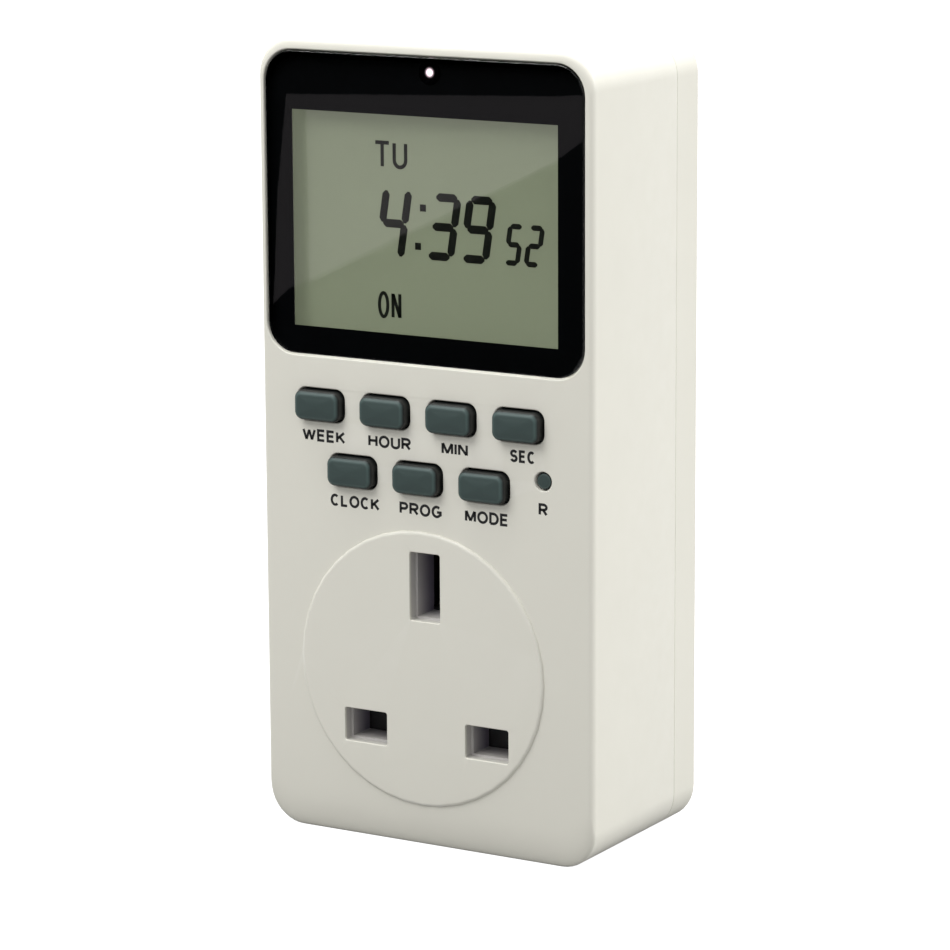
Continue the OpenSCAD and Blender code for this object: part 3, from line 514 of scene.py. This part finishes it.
# from its side the reset key's top rounds over in a few steps
reset_profile += [(r * MM, depth * MM) for r, depth in (
    (1.25, 0.55), (1.2, 0.42), (1.1, 0.34), (0.8, 0.31), (0.4, 0.3), (0.01, 0.3))]
reset_rings = [(disc(r, reset_x, reset_z), depth) for r, depth in reset_profile]
reset_key = make_piece("key_cap_reset", [skin(reset_rings)], slate_rubber, 42)
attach(reset_key, "key_reset")
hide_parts("key_reset")

# ---- Key legends ----------------------------------------------------------------------------
# One plain function word under each key, pad printed in black ink on the shell.

black_ink = finish("black_ink", (0.006, 0.006, 0.007), 0.5, scale=4000.0, tint=0.2, relief=0.000002)
ink_thickness = 0.012 * MM


def ribbon(path, width, face, back, closed=False):
    """A film of the given width along a path, or of one width at each point: a four-cornered section from
    the depth face to the depth back, carried along the path and mitred at its bends."""
    path = np.asarray(path, float)
    ahead = np.roll(path, -1, axis=0) - path
    behind = path - np.roll(path, 1, axis=0)
    if not closed:
        ahead[-1], behind[0] = behind[-1], ahead[0]
    ahead /= np.linalg.norm(ahead, axis=1, keepdims=True)
    behind /= np.linalg.norm(behind, axis=1, keepdims=True)
    along = ahead + behind
    along /= np.linalg.norm(along, axis=1, keepdims=True)
    across = np.column_stack([-along[:, 1], along[:, 0]]) * np.broadcast_to(width, len(path))[:, None] / 2
    across /= np.maximum((along * ahead).sum(1, keepdims=True), 0.5)
    left, right = path + across, path - across
    section = np.stack([placed(left, face), placed(left, back), placed(right, back), placed(right, face)], 1)
    steps = len(path)
    rows = np.arange(steps if closed else steps - 1)[:, None]
    near = rows * 4 + np.arange(4)
    far = ((rows + 1) % steps) * 4 + np.arange(4)
    quads = np.stack([near, np.roll(near, -1, 1), np.roll(far, -1, 1), far], -1).reshape(-1, 4).tolist()
    if not closed:
        quads += [[0, 1, 2, 3], [4 * steps - 4, 4 * steps - 3, 4 * steps - 2, 4 * steps - 1]]
    return section.reshape(-1, 3), quads


def bend(x, z, w, h, start, stop, steps=10):
    """Points on an ellipse w wide and h high round x, z, from one angle in degrees to another."""
    turns = np.radians(np.linspace(start, stop, steps + 1))
    return [(x + w / 2 * np.cos(a), z + h / 2 * np.sin(a)) for a in turns]


# each capital is a list of strokes in a box one wide and one high, with its width against the others
capitals = {
    "C": (0.92, [bend(0.5, 0.5, 1, 1, 48, 312, 16)]),
    "D": (0.9, [[(0, 0), (0, 1), (0.4, 1), *bend(0.4, 0.5, 1.2, 1, 80, -80, 10), (0.4, 0), (0, 0)]]),
    "E": (0.76, [[(1, 1), (0, 1), (0, 0), (1, 0)], [(0, 0.52), (0.92, 0.52)]]),
    "G": (1.0, [[*bend(0.5, 0.5, 1, 1, 48, 320, 16), (1, 0.22), (1, 0.46), (0.55, 0.46)]]),
    "H": (0.88, [[(0, 0), (0, 1)], [(1, 0), (1, 1)], [(0, 0.52), (1, 0.52)]]),
    "I": (0.0, [[(0.5, 0), (0.5, 1)]]),
    "K": (0.88, [[(0, 0), (0, 1)], [(0.98, 1), (0.04, 0.38)], [(0.34, 0.58), (1, 0)]]),
    "L": (0.7, [[(0, 1), (0, 0), (1, 0)]]),
    "M": (1.1, [[(0, 0), (0, 1)], [(0.03, 1), (0.5, 0.04)], [(0.5, 0.04), (0.97, 1)], [(1, 1), (1, 0)]]),
    "N": (0.88, [[(0, 0), (0, 1)], [(0.04, 0.97), (0.96, 0.03)], [(1, 0), (1, 1)]]),
    "O": (1.06, [bend(0.5, 0.5, 1, 1, 0, 345, 23)]),
    "P": (0.82, [[(0, 0), (0, 1), (0.55, 1), *bend(0.55, 0.73, 0.9, 0.54, 70, -70, 8), (0.55, 0.46),
                  (0, 0.46)]]),
    "R": (0.88, [[(0, 0), (0, 1), (0.55, 1), *bend(0.55, 0.74, 0.9, 0.52, 70, -70, 8), (0.55, 0.48),
                  (0, 0.48)], [(0.5, 0.48), (1, 0)]]),
    "S": (0.84, [[*bend(0.5, 0.745, 0.94, 0.51, 20, 262, 12), *bend(0.5, 0.255, 1, 0.51, 82, -160, 12)]]),
    "T": (1.05, [[(0, 1), (1, 1)], [(0.5, 0), (0.5, 1)]]),
    "U": (0.88, [[(0, 1), *bend(0.5, 0.3, 1, 0.6, 180, 360, 12), (1, 1)]]),
    "W": (1.42, [[(0, 1), (0.26, 0)], [(0.26, 0), (0.5, 0.97)], [(0.5, 0.97), (0.74, 0)],
                 [(0.74, 0), (1, 1)]]),
}


def lettering(word, x, z, w, h, weight, gap, face, back):
    """A word in plain capitals of one stroke weight, centred on x, z and filling w by h."""
    shares = [capitals[letter][0] for letter in word]
    step = (w - weight - gap * (len(word) - 1)) / max(sum(shares), 0.01)
    films, left, foot = [], x - w / 2 + weight / 2, z - h / 2 + weight / 2
    size = np.array([step, h - weight])
    for letter, share in zip(word, shares):
        # a letter of no width stands on the middle of its box
        shift, stretch = [0.5 * (share == 0), 0], [share or 1, 1]
        for stroke in capitals[letter][1]:
            points = [left, foot] + (np.array(stroke) - shift) * size * stretch
            films.append(ribbon(points, weight, face, back, closed=letter == "O"))
        left += share * step + gap
    return films


legends_at = {"WEEK": (-18.62, 0.89, 8.0), "HOUR": (-6.45, 1.0, 7.8), "MIN": (5.41, 1.05, 4.75),
              "SEC": (17.55, 1.05, 4.5), "CLOCK": (-12.93, -9.18, 9.1), "PROG": (-0.86, -9.2, 7.7),
              "MODE": (11.09, -9.22, 7.8), "R": (21.13, -6.87, 1.6)}
legend_films = []
for word, (x, z, w) in legends_at.items():
    legend_films += lettering(word, x * MM, middle + z * MM, w * MM, 1.98 * MM, 0.42 * MM, 0.64 * MM,
                              -ink_thickness, 0.05 * MM)
legends = make_piece("key_legends", legend_films, black_ink)
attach(legends, "casing")

# ---- Display --------------------------------------------------------------------------------
# A clear acrylic lens, printed black behind except for the window and the lamp hole, over a reflective
# liquid-crystal display. The lit characters are dark films on the display glass.

lens = bpy.data.materials.new("clear_acrylic")
lens.use_nodes = True
lens_tree = lens.node_tree
lens_shader = lens_tree.nodes["Principled BSDF"]
for label, value in (("Base Color", (1, 1, 1, 1)), ("Roughness", 0.0), ("IOR", 1.49),
                     ("Transmission Weight", 1.0)):
    lens_shader.inputs[label].default_value = value
lens_clear = lens_tree.nodes.new("ShaderNodeBsdfTransparent")
lens_mix = lens_tree.nodes.new("ShaderNodeMixShader")
lens_path = lens_tree.nodes.new("ShaderNodeLightPath")
lens_tree.links.new(lens_path.outputs["Is Shadow Ray"], lens_mix.inputs[0])
lens_tree.links.new(lens_shader.outputs[0], lens_mix.inputs[1])
lens_tree.links.new(lens_clear.outputs[0], lens_mix.inputs[2])
lens_tree.links.new(lens_mix.outputs[0], lens_tree.nodes["Material Output"].inputs["Surface"])

lens_edge = 0.25 * MM
lens_face, lens_back = lens_low.y - front, lens_high.y - front
lens_size = grower(lens_w, lens_h, lens_corner, lens_x, lens_middle)
lens_rings = [(lens_size(-lens_edge * (1 - np.sin(a))), lens_face + lens_edge * (1 - np.cos(a)))
              for a in edge_turns[::2]]
lens_rings.append((lens_size(0), lens_back))
lens_patches = [skin(lens_rings), flat(lens_size(-lens_edge), [], lens_face),
                flat(lens_size(0), [], lens_back)]
lens_plate = make_piece("clear_lens", lens_patches, lens, 50)
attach(lens_plate, "casing")
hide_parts("display_lens")

black_print = finish("black_screen_print", (0.0012, 0.0018, 0.0028), 0.55, scale=5000.0, tint=0.3,
                     relief=0.000001, Specular_IOR_Level=0.1)
# the display only reflects, but it is given a faint glow of painted light that evens out the shade the print
# casts on it
display_glass_painted_glow = finish("display_glass", (0.158, 0.179, 0.122), 0.0, scale=900.0, tint=0.02, spread=0.0,
                      relief=0.0, Coat_Weight=1.0, Coat_Roughness=0.0, Coat_IOR=1.75,
                      Emission_Color=(0.36, 0.41, 0.272, 1), Emission_Strength=0.28)
segment_film = finish("display_segment", (0.006, 0.007, 0.005), 0.3, scale=2500.0, tint=0.15, relief=0.0,
                      Specular_IOR_Level=0.2)
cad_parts["lens_mask"].data.materials[0] = black_print
for name in ("lcd_front_glass", "lcd_rear_glass", "lcd_reflector"):
    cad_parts[name].data.materials[0] = display_glass_painted_glow

film_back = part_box("lcd_front_glass")[0].y - front
film_face = film_back - 0.02 * MM
film_back += 0.02 * MM

lean = 0.156
segments_of = {"2": "abged", "3": "abgcd", "4": "fgbc", "5": "afgcd", "9": "abcdfg"}


def digit(figure, x, z, w, h, thick, gap):
    """A seven-segment figure that leans to the right. x, z is its lower left corner before it leans. Each
    segment is a ribbon that narrows at both ends, where it meets the next one at a gap."""
    low, mid, top = thick / 2, h / 2, h - thick / 2
    left, right = thick / 2, w - thick / 2
    ends = {"a": ((left, top), (right, top)), "g": ((left, mid), (right, mid)),
            "d": ((left, low), (right, low)), "f": ((left, mid), (left, top)),
            "b": ((right, mid), (right, top)), "e": ((left, low), (left, mid)),
            "c": ((right, low), (right, mid))}
    shapes = []
    for segment in segments_of[figure]:
        start, end = (np.array(p) for p in ends[segment])
        run = (end - start) / np.linalg.norm(end - start)
        first, last = start + run * gap, end - run * gap
        # a stroke with nothing beyond its end runs out to the figure's own edge
        first = first - run * (thick / 2 if segment == "c" and "d" not in segments_of[figure] else 0)
        last = last + run * (thick / 2 if segment in "bf" and "a" not in segments_of[figure] else 0)
        points = np.array([first, first + run * 0.42 * thick, last - run * 0.42 * thick, last])
        points[:, 0] += lean * points[:, 1]
        shapes.append(ribbon(points + [x, z], np.array([0.3, 1, 1, 0.3]) * thick, film_face, film_back))
    return shapes


figure_foot = middle + 29.7 * MM
films = []
for figure, x in (("4", -10.95), ("3", -2.0), ("9", 4.25)):
    films += digit(figure, x * MM, figure_foot, 5.35 * MM, 10.5 * MM, 1.32 * MM, 0.14 * MM)
for figure, x in (("5", 12.15), ("2", 15.75)):
    films += digit(figure, x * MM, figure_foot + 0.15 * MM, 2.9 * MM, 6.5 * MM, 0.85 * MM, 0.05 * MM)
for x, z in ((-2.09, 37.7), (-3.03, 31.67)):
    films.append(ribbon([((x - 0.54) * MM, middle + z * MM), ((x + 0.54) * MM, middle + z * MM)], 1.1 * MM,
                        film_face, film_back))
for word, x, z, w, weight in (("TU", -7.9, 45.6, 6.1, 0.6), ("ON", -8.3, 22.05, 4.3, 0.56)):
    films += lettering(word, x * MM, middle + z * MM, w * MM, 4.3 * MM, weight * MM, 0.95 * MM,
                       film_face, film_back)
characters = make_piece("display_characters", films, segment_film)
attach(characters, "casing")

# ---- Lamp -----------------------------------------------------------------------------------
# A 3 mm lamp on the control board, seen through a small round hole in the black print. A diffusing
# disc behind the lens spreads its light into a soft halo.

glow = bpy.data.materials.new("lamp_glow")
glow.use_nodes = True
glow_tree = glow.node_tree
glow_shader = glow_tree.nodes["Principled BSDF"]
glow_shader.inputs["Base Color"].default_value = (0.001, 0.001, 0.0012, 1)
glow_shader.inputs["Roughness"].default_value = 0.5
glow_shader.inputs["Specular IOR Level"].default_value = 0.0
glow_place = node(glow_tree, "ShaderNodeMapping", Location=(-lamp_x, 0, -lamp_z))
glow_flat = node(glow_tree, "ShaderNodeVectorMath", operation="MULTIPLY")
glow_flat.inputs[1].default_value = (1, 0, 1)
glow_far = node(glow_tree, "ShaderNodeVectorMath", operation="LENGTH")
glow_fade = node(glow_tree, "ShaderNodeMapRange", interpolation_type="SMOOTHERSTEP", From_Min=0.0002,
                 From_Max=0.0013, To_Min=1.0, To_Max=0.0)
glow_power = node(glow_tree, "ShaderNodeMath", operation="POWER")
glow_power.inputs[1].default_value = 4.0
glow_tint = node(glow_tree, "ShaderNodeMix", data_type="RGBA")
glow_tint.inputs[6].default_value = (0, 0, 0, 1)
glow_tint.inputs[7].default_value = (1.0, 0.78, 0.86, 1)
glow_links = glow_tree.links.new
glow_links(glow_tree.nodes.new("ShaderNodeTexCoord").outputs["Object"], glow_place.inputs["Vector"])
glow_links(glow_place.outputs["Vector"], glow_flat.inputs[0])
glow_links(glow_flat.outputs["Vector"], glow_far.inputs[0])
glow_links(glow_far.outputs["Value"], glow_fade.inputs["Value"])
glow_links(glow_fade.outputs["Result"], glow_power.inputs[0])
glow_links(glow_power.outputs[0], glow_tint.inputs[0])
glow_links(glow_tint.outputs[2], glow_shader.inputs["Emission Color"])
glow_shader.inputs["Emission Strength"].default_value = 2.6
glow_front = lens_back - 0.06 * MM
diffuser_r, diffuser_thick = 1.95 * MM, 0.03 * MM
diffuser_rings = [(disc(r, lamp_x, lamp_z), glow_front + deep) for r, deep in (
    (0.01 * MM, 0), (diffuser_r, 0), (diffuser_r, diffuser_thick), (0.01 * MM, diffuser_thick))]
diffuser = make_piece("lamp_diffuser", [skin(diffuser_rings)], glow)
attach(diffuser, "casing")
lamp_body = finish("lamp_body", (0.9, 0.85, 0.86), 0.25, scale=900.0, tint=0.02, Coat_Weight=0.4)
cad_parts["status_led"].data.materials[0] = lamp_body

# ---- Plug pins ------------------------------------------------------------------------------
# Three solid brass pins stand out of the back, bevelled at the tip. The live and neutral pins carry a
# black insulating sleeve for the half nearest the body, flush with the brass.

brass = finish("drawn_brass", (0.78, 0.56, 0.25), 0.28, scale=700.0, tint=0.08, spread=0.16, relief=0.000004,
               edge_lightening=0.1, Metallic=1.0)
black_moulding = finish("black_moulding", (0.018, 0.018, 0.019), 0.45, scale=1800.0, tint=0.1, spread=0.1,
                        relief=0.000008, dust=0.1)
rear = -front
head_front, head_back = rear - 8.5 * MM, rear - 5.5 * MM
pin_edge = 0.35 * MM
sleeve_wall, sleeve_long, sleeve_root = 0.6 * MM, 9.5 * MM, rear - 1.5 * MM


def blade(x, z, w, h, sections):
    """A rectangular pin with eased edges: its outline carried along the sections, each (inset, depth)."""
    return [(outline(w - 2 * inset, h - 2 * inset, max(pin_edge - 0.3 * inset, 0.08 * MM), x, z, 4), depth)
            for inset, depth in sections]


def pin_piece(name, x, z, w, h, head_w, head_h, length, sleeve):
    """A plug pin with its hidden head, its shank, the neck under the sleeve and the bevelled tip."""
    tip = rear + length
    bevel = 1.1 * MM
    neck = [(0, sleeve_root), (sleeve_wall, sleeve_root), (sleeve_wall, rear + sleeve), (0, rear + sleeve)]
    head = outline(head_w, head_h, 0.3 * MM, x, z, 4)
    shank = [(0, head_back)] + (neck if sleeve else [])
    shank += [(0, tip - 1.5 * MM), (0.12 * MM, tip - 1.25 * MM), (bevel - 0.1 * MM, tip - 0.08 * MM),
              (bevel, tip)]
    rings = [(head, head_front), (head, head_back)] + blade(x, z, w, h, shank)
    patches = [skin(rings), flat(head, [], head_front), flat(rings[-1][0], [], tip)]
    return make_piece(name, patches, brass, 30)


line_size = (6.35 * MM, 4 * MM)
for name, side in (("live", 1), ("neutral", -1)):
    pin_at = (side * pin_x, -pin_z)
    pin = pin_piece(f"{name}_plug_pin", *pin_at, *line_size, 9 * MM, 6.6 * MM, 17.7 * MM, sleeve_long)
    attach(pin, "casing")
    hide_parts(f"{name}_pin")
    outer = blade(*pin_at, *line_size, [(0, sleeve_root), (0, rear + 9.35 * MM),
                                        (0.1 * MM, rear + sleeve_long)])
    inner = blade(*pin_at, *line_size, [(sleeve_wall, rear + sleeve_long), (sleeve_wall, sleeve_root)])
    sleeve = make_piece(f"{name}_sleeve", [skin([*outer, *inner, outer[0]])], black_moulding, 30)
    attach(sleeve, "casing")
    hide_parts(f"{name}_pin_sleeve")
earth = pin_piece("earth_plug_pin", 0, pin_z, 4 * MM, 8 * MM, 7 * MM, 10.4 * MM, 22.73 * MM, 0)
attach(earth, "casing")
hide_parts("earth_pin")

# ---- Rear cover -----------------------------------------------------------------------------
# The back half of the casing: an ivory ABS tray that meets the front shell at a fine seam. The plug
# pins pass through a thick block in it, four screws sit in deep recesses, and a shallow panel is left blank.

cover_floor = rear - wall
block_front = rear - 5.5 * MM
cover_edge = 0.15 * MM


def deeper(rings):
    """Rings whose depths are given from the rear face inwards."""
    return [(loop, rear - depth) for loop, depth in rings]


cover_rings = [(body_outline(soft_edge * (1 - np.sin(a))), soft_edge * (1 - np.cos(a))) for a in edge_turns]
cover_depth = rear - seam
# a thin lip stands up inside the shell's wall, with a chamfer at its tip
lip, lip_tip, tray = (body_outline(wall + further * MM) for further in (0.15, 0.3, 1.3))
cover_rings += [(body_outline(0), cover_depth - seam_edge), (body_outline(seam_in), cover_depth),
                (lip, cover_depth), (lip, cover_depth + 1.4 * MM), (lip_tip, cover_depth + 1.5 * MM),
                (tray, cover_depth + 1.5 * MM), (tray, wall)]
panel = grower(40 * MM, 26 * MM, 2 * MM, 0, middle + 24 * MM)
panel_deep = 0.4 * MM
block = outline(40 * MM, 36 * MM, 1 * MM, 0, 0)
pin_ways = [lambda g: outline(4 * MM + 2 * g, 8 * MM + 2 * g, pin_edge + g, 0, pin_z)]
pin_ways += [(lambda side: lambda g: outline(line_size[0] + 2 * g, line_size[1] + 2 * g, pin_edge + g,
                                             side * pin_x, -pin_z))(side) for side in (-1, 1)]
cover = [skin(deeper(cover_rings))]
cover.append(skin(mouth(panel, rear, cover_edge, rear - panel_deep)))
cover.append(flat(panel(0), [], rear - panel_deep))
pin_way_edge = 0.12 * MM
cover += [skin(mouth(way, rear, pin_way_edge, block_front)) for way in pin_ways]
cover.append(flat(block, [way(0) for way in pin_ways], block_front))
cover.append(skin([(block, block_front), (block, cover_floor)]))
recesses, bosses = [], []
for x, z in case_screws_at:
    recess = (lambda x, z: lambda g: disc(2.9 * MM + g, x, z))(x, z)
    boss_x = x - np.sign(x) * 0.55 * MM
    boss_z = z - np.sign(z - middle) * 1.1 * MM
    boss = outline(6.2 * MM, 6.6 * MM, 2.4 * MM, boss_x, boss_z)
    screw_seat = rear - 3.2 * MM
    sunk = mouth(recess, rear, cover_edge, screw_seat)
    bore = disc(1.5 * MM, x, z)
    cover.append(skin(sunk + [(bore, screw_seat), (bore, seam), (boss, seam), (boss, cover_floor)]))
    recesses.append(recess(cover_edge))
    bosses.append(boss)
rear_ways = [panel(cover_edge), *recesses, *[way(pin_way_edge) for way in pin_ways]]
cover.append(flat(body_outline(soft_edge), rear_ways, rear))
cover.append(flat(tray, [block, *bosses], cover_floor))
power_posts_at = [(-23.2, 50.6), (23.2, 50.6), (23.2, -3.4), (-4.6, -3.8)]
board_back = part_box("power_board")[1].y - front
cover += [post(x * MM, middle + z * MM, 2.4 * MM, 0.8 * MM, cover_floor + 0.2 * MM, board_back,
               rear - 0.9 * MM) for x, z in power_posts_at]
rear_cover = make_piece("rear_cover_moulding", cover, ivory)
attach(rear_cover, "casing")
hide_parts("rear_cover")

# ---- Socket, boards and fasteners inside ----------------------------------------------------
# The pieces that the casing hides keep their CAD shapes: sprung contacts in a black carrier, the two
# circuit boards with their components, the relay, the leads and the zinc-plated screws.

zinc = finish("zinc_plate", (0.62, 0.63, 0.64), 0.32, scale=600.0, tint=0.1, spread=0.2, relief=0.000006,
              edge_lightening=0.1, Metallic=1.0)
solder_mask = finish("solder_mask", (0.03, 0.16, 0.07), 0.3, scale=300.0, tint=0.35, relief=0.000010,
                     Coat_Weight=0.3)
laminate = finish("paper_laminate", (0.50, 0.37, 0.17), 0.6, scale=500.0, tint=0.15, relief=0.000012)
white_nylon = finish("white_nylon", (0.78, 0.77, 0.73), 0.45, scale=1200.0)
striped_silicone = finish("striped_silicone", (0.62, 0.38, 0.45), 0.6, scale=2500.0, tint=0.3)
blue_plastic = finish("blue_plastic", (0.03, 0.1, 0.34), 0.35, scale=1200.0, tint=0.08, Coat_Weight=0.2)
yellow_case = finish("yellow_case", (0.68, 0.47, 0.07), 0.35, scale=1200.0, tint=0.06, Coat_Weight=0.3)
shrink_sleeve = finish("shrink_sleeve", (0.02, 0.022, 0.05), 0.25, scale=800.0, tint=0.1, Coat_Weight=0.4)
ceramic = finish("fired_ceramic", (0.22, 0.19, 0.16), 0.5, scale=2500.0, tint=0.25)
lacquer = finish("resistor_lacquer", (0.23, 0.32, 0.40), 0.35, scale=1500.0, tint=0.1, Coat_Weight=0.3)
enamelled_copper = finish("enamelled_copper", (0.60, 0.22, 0.07), 0.3, scale=2800.0, tint=0.3,
                          relief=0.000030, Metallic=1.0)
grey_ribbon = finish("grey_ribbon", (0.40, 0.41, 0.43), 0.5, scale=1500.0, tint=0.08)
brown_lead = finish("brown_lead", (0.12, 0.045, 0.02), 0.4, scale=1500.0, tint=0.1)
blue_lead = finish("blue_lead", (0.02, 0.07, 0.30), 0.4, scale=1500.0, tint=0.1)
finishes = {
    slate_rubber: ["keypad_mat"],
    black_moulding: ["socket_shutter", "contact_carrier", "relay_base", "controller_blob",
                     "rectifier_diodes"],
    brass: ["live_contact", "neutral_contact", "earth_contact", "relay_contact"],
    zinc: ["case_screws", "control_board_screws", "power_board_screws", "carrier_screws",
           "relay_yoke", "relay_armature", "backup_cell", "cell_tabs", "clock_crystal"],
    white_nylon: ["lcd_frame", "relay_bobbin"],
    striped_silicone: ["zebra_strips"],
    solder_mask: ["control_board"],
    laminate: ["power_board"],
    blue_plastic: ["relay_cover", "varistor"],
    yellow_case: ["film_capacitor"],
    shrink_sleeve: ["electrolytic_capacitor"],
    ceramic: ["chip_parts"],
    lacquer: ["dropper_resistor"],
    enamelled_copper: ["relay_winding"],
    grey_ribbon: ["ribbon_cable"],
    brown_lead: ["live_in_wire", "live_out_wire"],
    blue_lead: ["neutral_wire"],
}
for material, names in finishes.items():
    for name in names:
        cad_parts[name].data.materials[0] = material

# ---- Shutter spring -------------------------------------------------------------------------
# A coil of thin zinc-plated wire that stands on a ledge of the shell and holds the shutter up. In the
# real timer it shortens as the shutter slides down; here it is one fixed coil on the casing.

spring_low, spring_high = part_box("shutter_spring")
wire_r, coil_r, coil_turns = 0.2 * MM, 1.08 * MM, 6


def coil(x, y, low, high, around=8, per_turn=28):
    """A round wire wound about an upright axis at x, y. Its middle goes round at coil_r and climbs evenly
    from low to high. Each point lies at the middle plus wire_r * (cos b outwards + sin b upwards)."""
    climbed = np.linspace(0, 1, coil_turns * per_turn + 1)[:, None]
    turn = 2 * np.pi * coil_turns * climbed
    b = np.linspace(0, 2 * np.pi, around, endpoint=False)[None, :]
    reach = coil_r + wire_r * np.cos(b)
    heights = low + wire_r + (high - low - 2 * wire_r) * climbed + wire_r * np.sin(b)
    points = np.stack([x + reach * np.cos(turn), y + reach * np.sin(turn), heights], -1)
    rows = np.arange(len(climbed) - 1)[:, None]
    near = rows * around + np.arange(around)
    far = near + around
    quads = np.stack([near, np.roll(near, -1, 1), np.roll(far, -1, 1), far], -1).reshape(-1, 4).tolist()
    last = (len(climbed) - 1) * around
    return points.reshape(-1, 3), quads + [list(range(around))[::-1], list(range(last, last + around))]


spring_middle = (spring_low + spring_high) / 2
spring_wire = coil(spring_middle.x, spring_middle.y, spring_low.z, spring_high.z)
spring = make_piece("shutter_coil_spring", [spring_wire], zinc)
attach(spring, "casing")
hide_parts("shutter_spring")
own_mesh(spring)

# ---- Floor, light and camera ----------------------------------------------------------------
# A grey floor, lifted to white for the camera alone, soft light from above and from the right, and a
# camera that stands to the right of the timer and a little above it. A dark card and a paler one in front
# of it stand where the lens mirrors them.

floor_z = middle - height / 2
floor_size = 6.0
floor_points = np.array([[-1, -1], [1, -1], [1, 1], [-1, 1]]) * floor_size
floor_mesh = bpy.data.meshes.new("floor")
floor_mesh.from_pydata([(x, y, floor_z) for x, y in floor_points], [], [(0, 1, 2, 3)])
floor = bpy.data.objects.new("floor", floor_mesh)
bpy.context.scene.collection.objects.link(floor)
floor_paint = finish("floor_paint", (0.24, 0.24, 0.24), 0.9, scale=20.0, tint=0.0, relief=0.0,
                     Specular_IOR_Level=0.0, Emission_Color=(1, 1, 1, 1))
floor_tree = floor_paint.node_tree
floor_seen = floor_tree.nodes.new("ShaderNodeLightPath").outputs["Is Camera Ray"]
floor_tree.links.new(floor_seen, floor_tree.nodes["Principled BSDF"].inputs["Emission Strength"])
floor_mesh.materials.append(floor_paint)

scene = bpy.context.scene
scene.view_settings.view_transform = "Standard"
world = bpy.data.worlds.new("studio")
scene.world = world
world.use_nodes = True
world_tree = world.node_tree
sky = world_tree.nodes["Background"]
sky.inputs["Color"].default_value = (1, 1, 1, 1)
# the camera sees the sky brighter than it lights the timer
sky_power = node(world_tree, "ShaderNodeMapRange", To_Min=0.56, To_Max=1.0)
sky_seen = world_tree.nodes.new("ShaderNodeLightPath").outputs["Is Camera Ray"]
world_tree.links.new(sky_seen, sky_power.inputs["Value"])
world_tree.links.new(sky_power.outputs["Result"], sky.inputs["Strength"])

target = Vector((0, front, middle))


def soft_light(name, place, size, power):
    """A square area light of the given size, aimed at the timer."""
    lamp = bpy.data.lights.new(name, "AREA")
    lamp.size = size
    lamp.energy = power
    holder = bpy.data.objects.new(name, lamp)
    holder.location = place
    holder.rotation_euler = (target - Vector(place)).to_track_quat("-Z", "Y").to_euler()
    scene.collection.objects.link(holder)


soft_light("overhead", (-0.1, 0.1, 1.1), 0.7, 11)
soft_light("right", (1.0, 0.3, 0.5), 0.6, 8.3)
soft_light("front", (-0.15, -0.3, 0.42), 0.3, 1.5)

camera_turn, camera_rise, camera_roll = np.radians([31.43, 11.21, -0.44])
camera_distance = 0.6294
aim_right, aim_down = 7.79 * MM, 3.47 * MM
back = Vector((np.sin(camera_turn) * np.cos(camera_rise), -np.cos(camera_turn) * np.cos(camera_rise),
               np.sin(camera_rise)))
level = Vector((np.cos(camera_turn), np.sin(camera_turn), 0))
above = back.cross(level)
camera_right = level * np.cos(camera_roll) + above * np.sin(camera_roll)
camera_up = above * np.cos(camera_roll) - level * np.sin(camera_roll)
camera_data = bpy.data.cameras.new("camera")
camera_data.sensor_width = 36
camera_data.lens = 153.6
camera = bpy.data.objects.new("camera", camera_data)
camera.location = target + back * camera_distance
aim = target + camera_right * aim_right - camera_up * aim_down
backwards = (camera.location - aim).normalized()
sideways = camera_up.cross(backwards).normalized()
camera.rotation_euler = Matrix((sideways, backwards.cross(sideways), backwards)).transposed().to_euler()
scene.collection.objects.link(camera)
scene.camera = camera

card_distance = 0.32


def mirrored(x, up, further):
    """Where the camera sees a point of the lens's face, given in mm, mirror a flat card. The card is at right
    angles to the mirrored line of sight through the lens's middle, at the card's distance from it."""
    eye = np.array(camera.location)
    heart = np.array([lens_x, front, lens_middle])
    flipped = np.array([1, -1, 1])
    facing = (heart - eye) * flipped
    facing /= np.linalg.norm(facing)
    sight = (np.array([x * MM, front, middle + up * MM]) - eye) * flipped
    start = np.array([x * MM, front, middle + up * MM])
    run = (card_distance + further - (start - heart) @ facing) / (sight @ facing)
    return start + sight * run


def card(name, corners, further, strength):
    """A flat card with the given corners on the lens, seen only in reflections, and its glow."""
    mesh = bpy.data.meshes.new(name)
    points = [mirrored(x, up, further).tolist() for x, up in corners]
    mesh.from_pydata(points, [], [list(range(len(corners)))])
    mesh.materials.append(finish(name, (0, 0, 0), 1.0, tint=0.0, relief=0.0, Specular_IOR_Level=0.0,
                                 Emission_Color=(1.0, 0.93, 0.97, 1), Emission_Strength=strength))
    held = bpy.data.objects.new(name, mesh)
    scene.collection.objects.link(held)
    held.visible_camera = held.visible_diffuse = held.visible_shadow = False


card("dark_card", [(-50, 0), (50, 0), (50, 80), (-50, 80)], 0.002, 0.0)
card("pale_area", [(-30.9, 20.9), (40, 55.0), (40, 57.6), (-25.2, 54.6)], 0.0, 0.28)
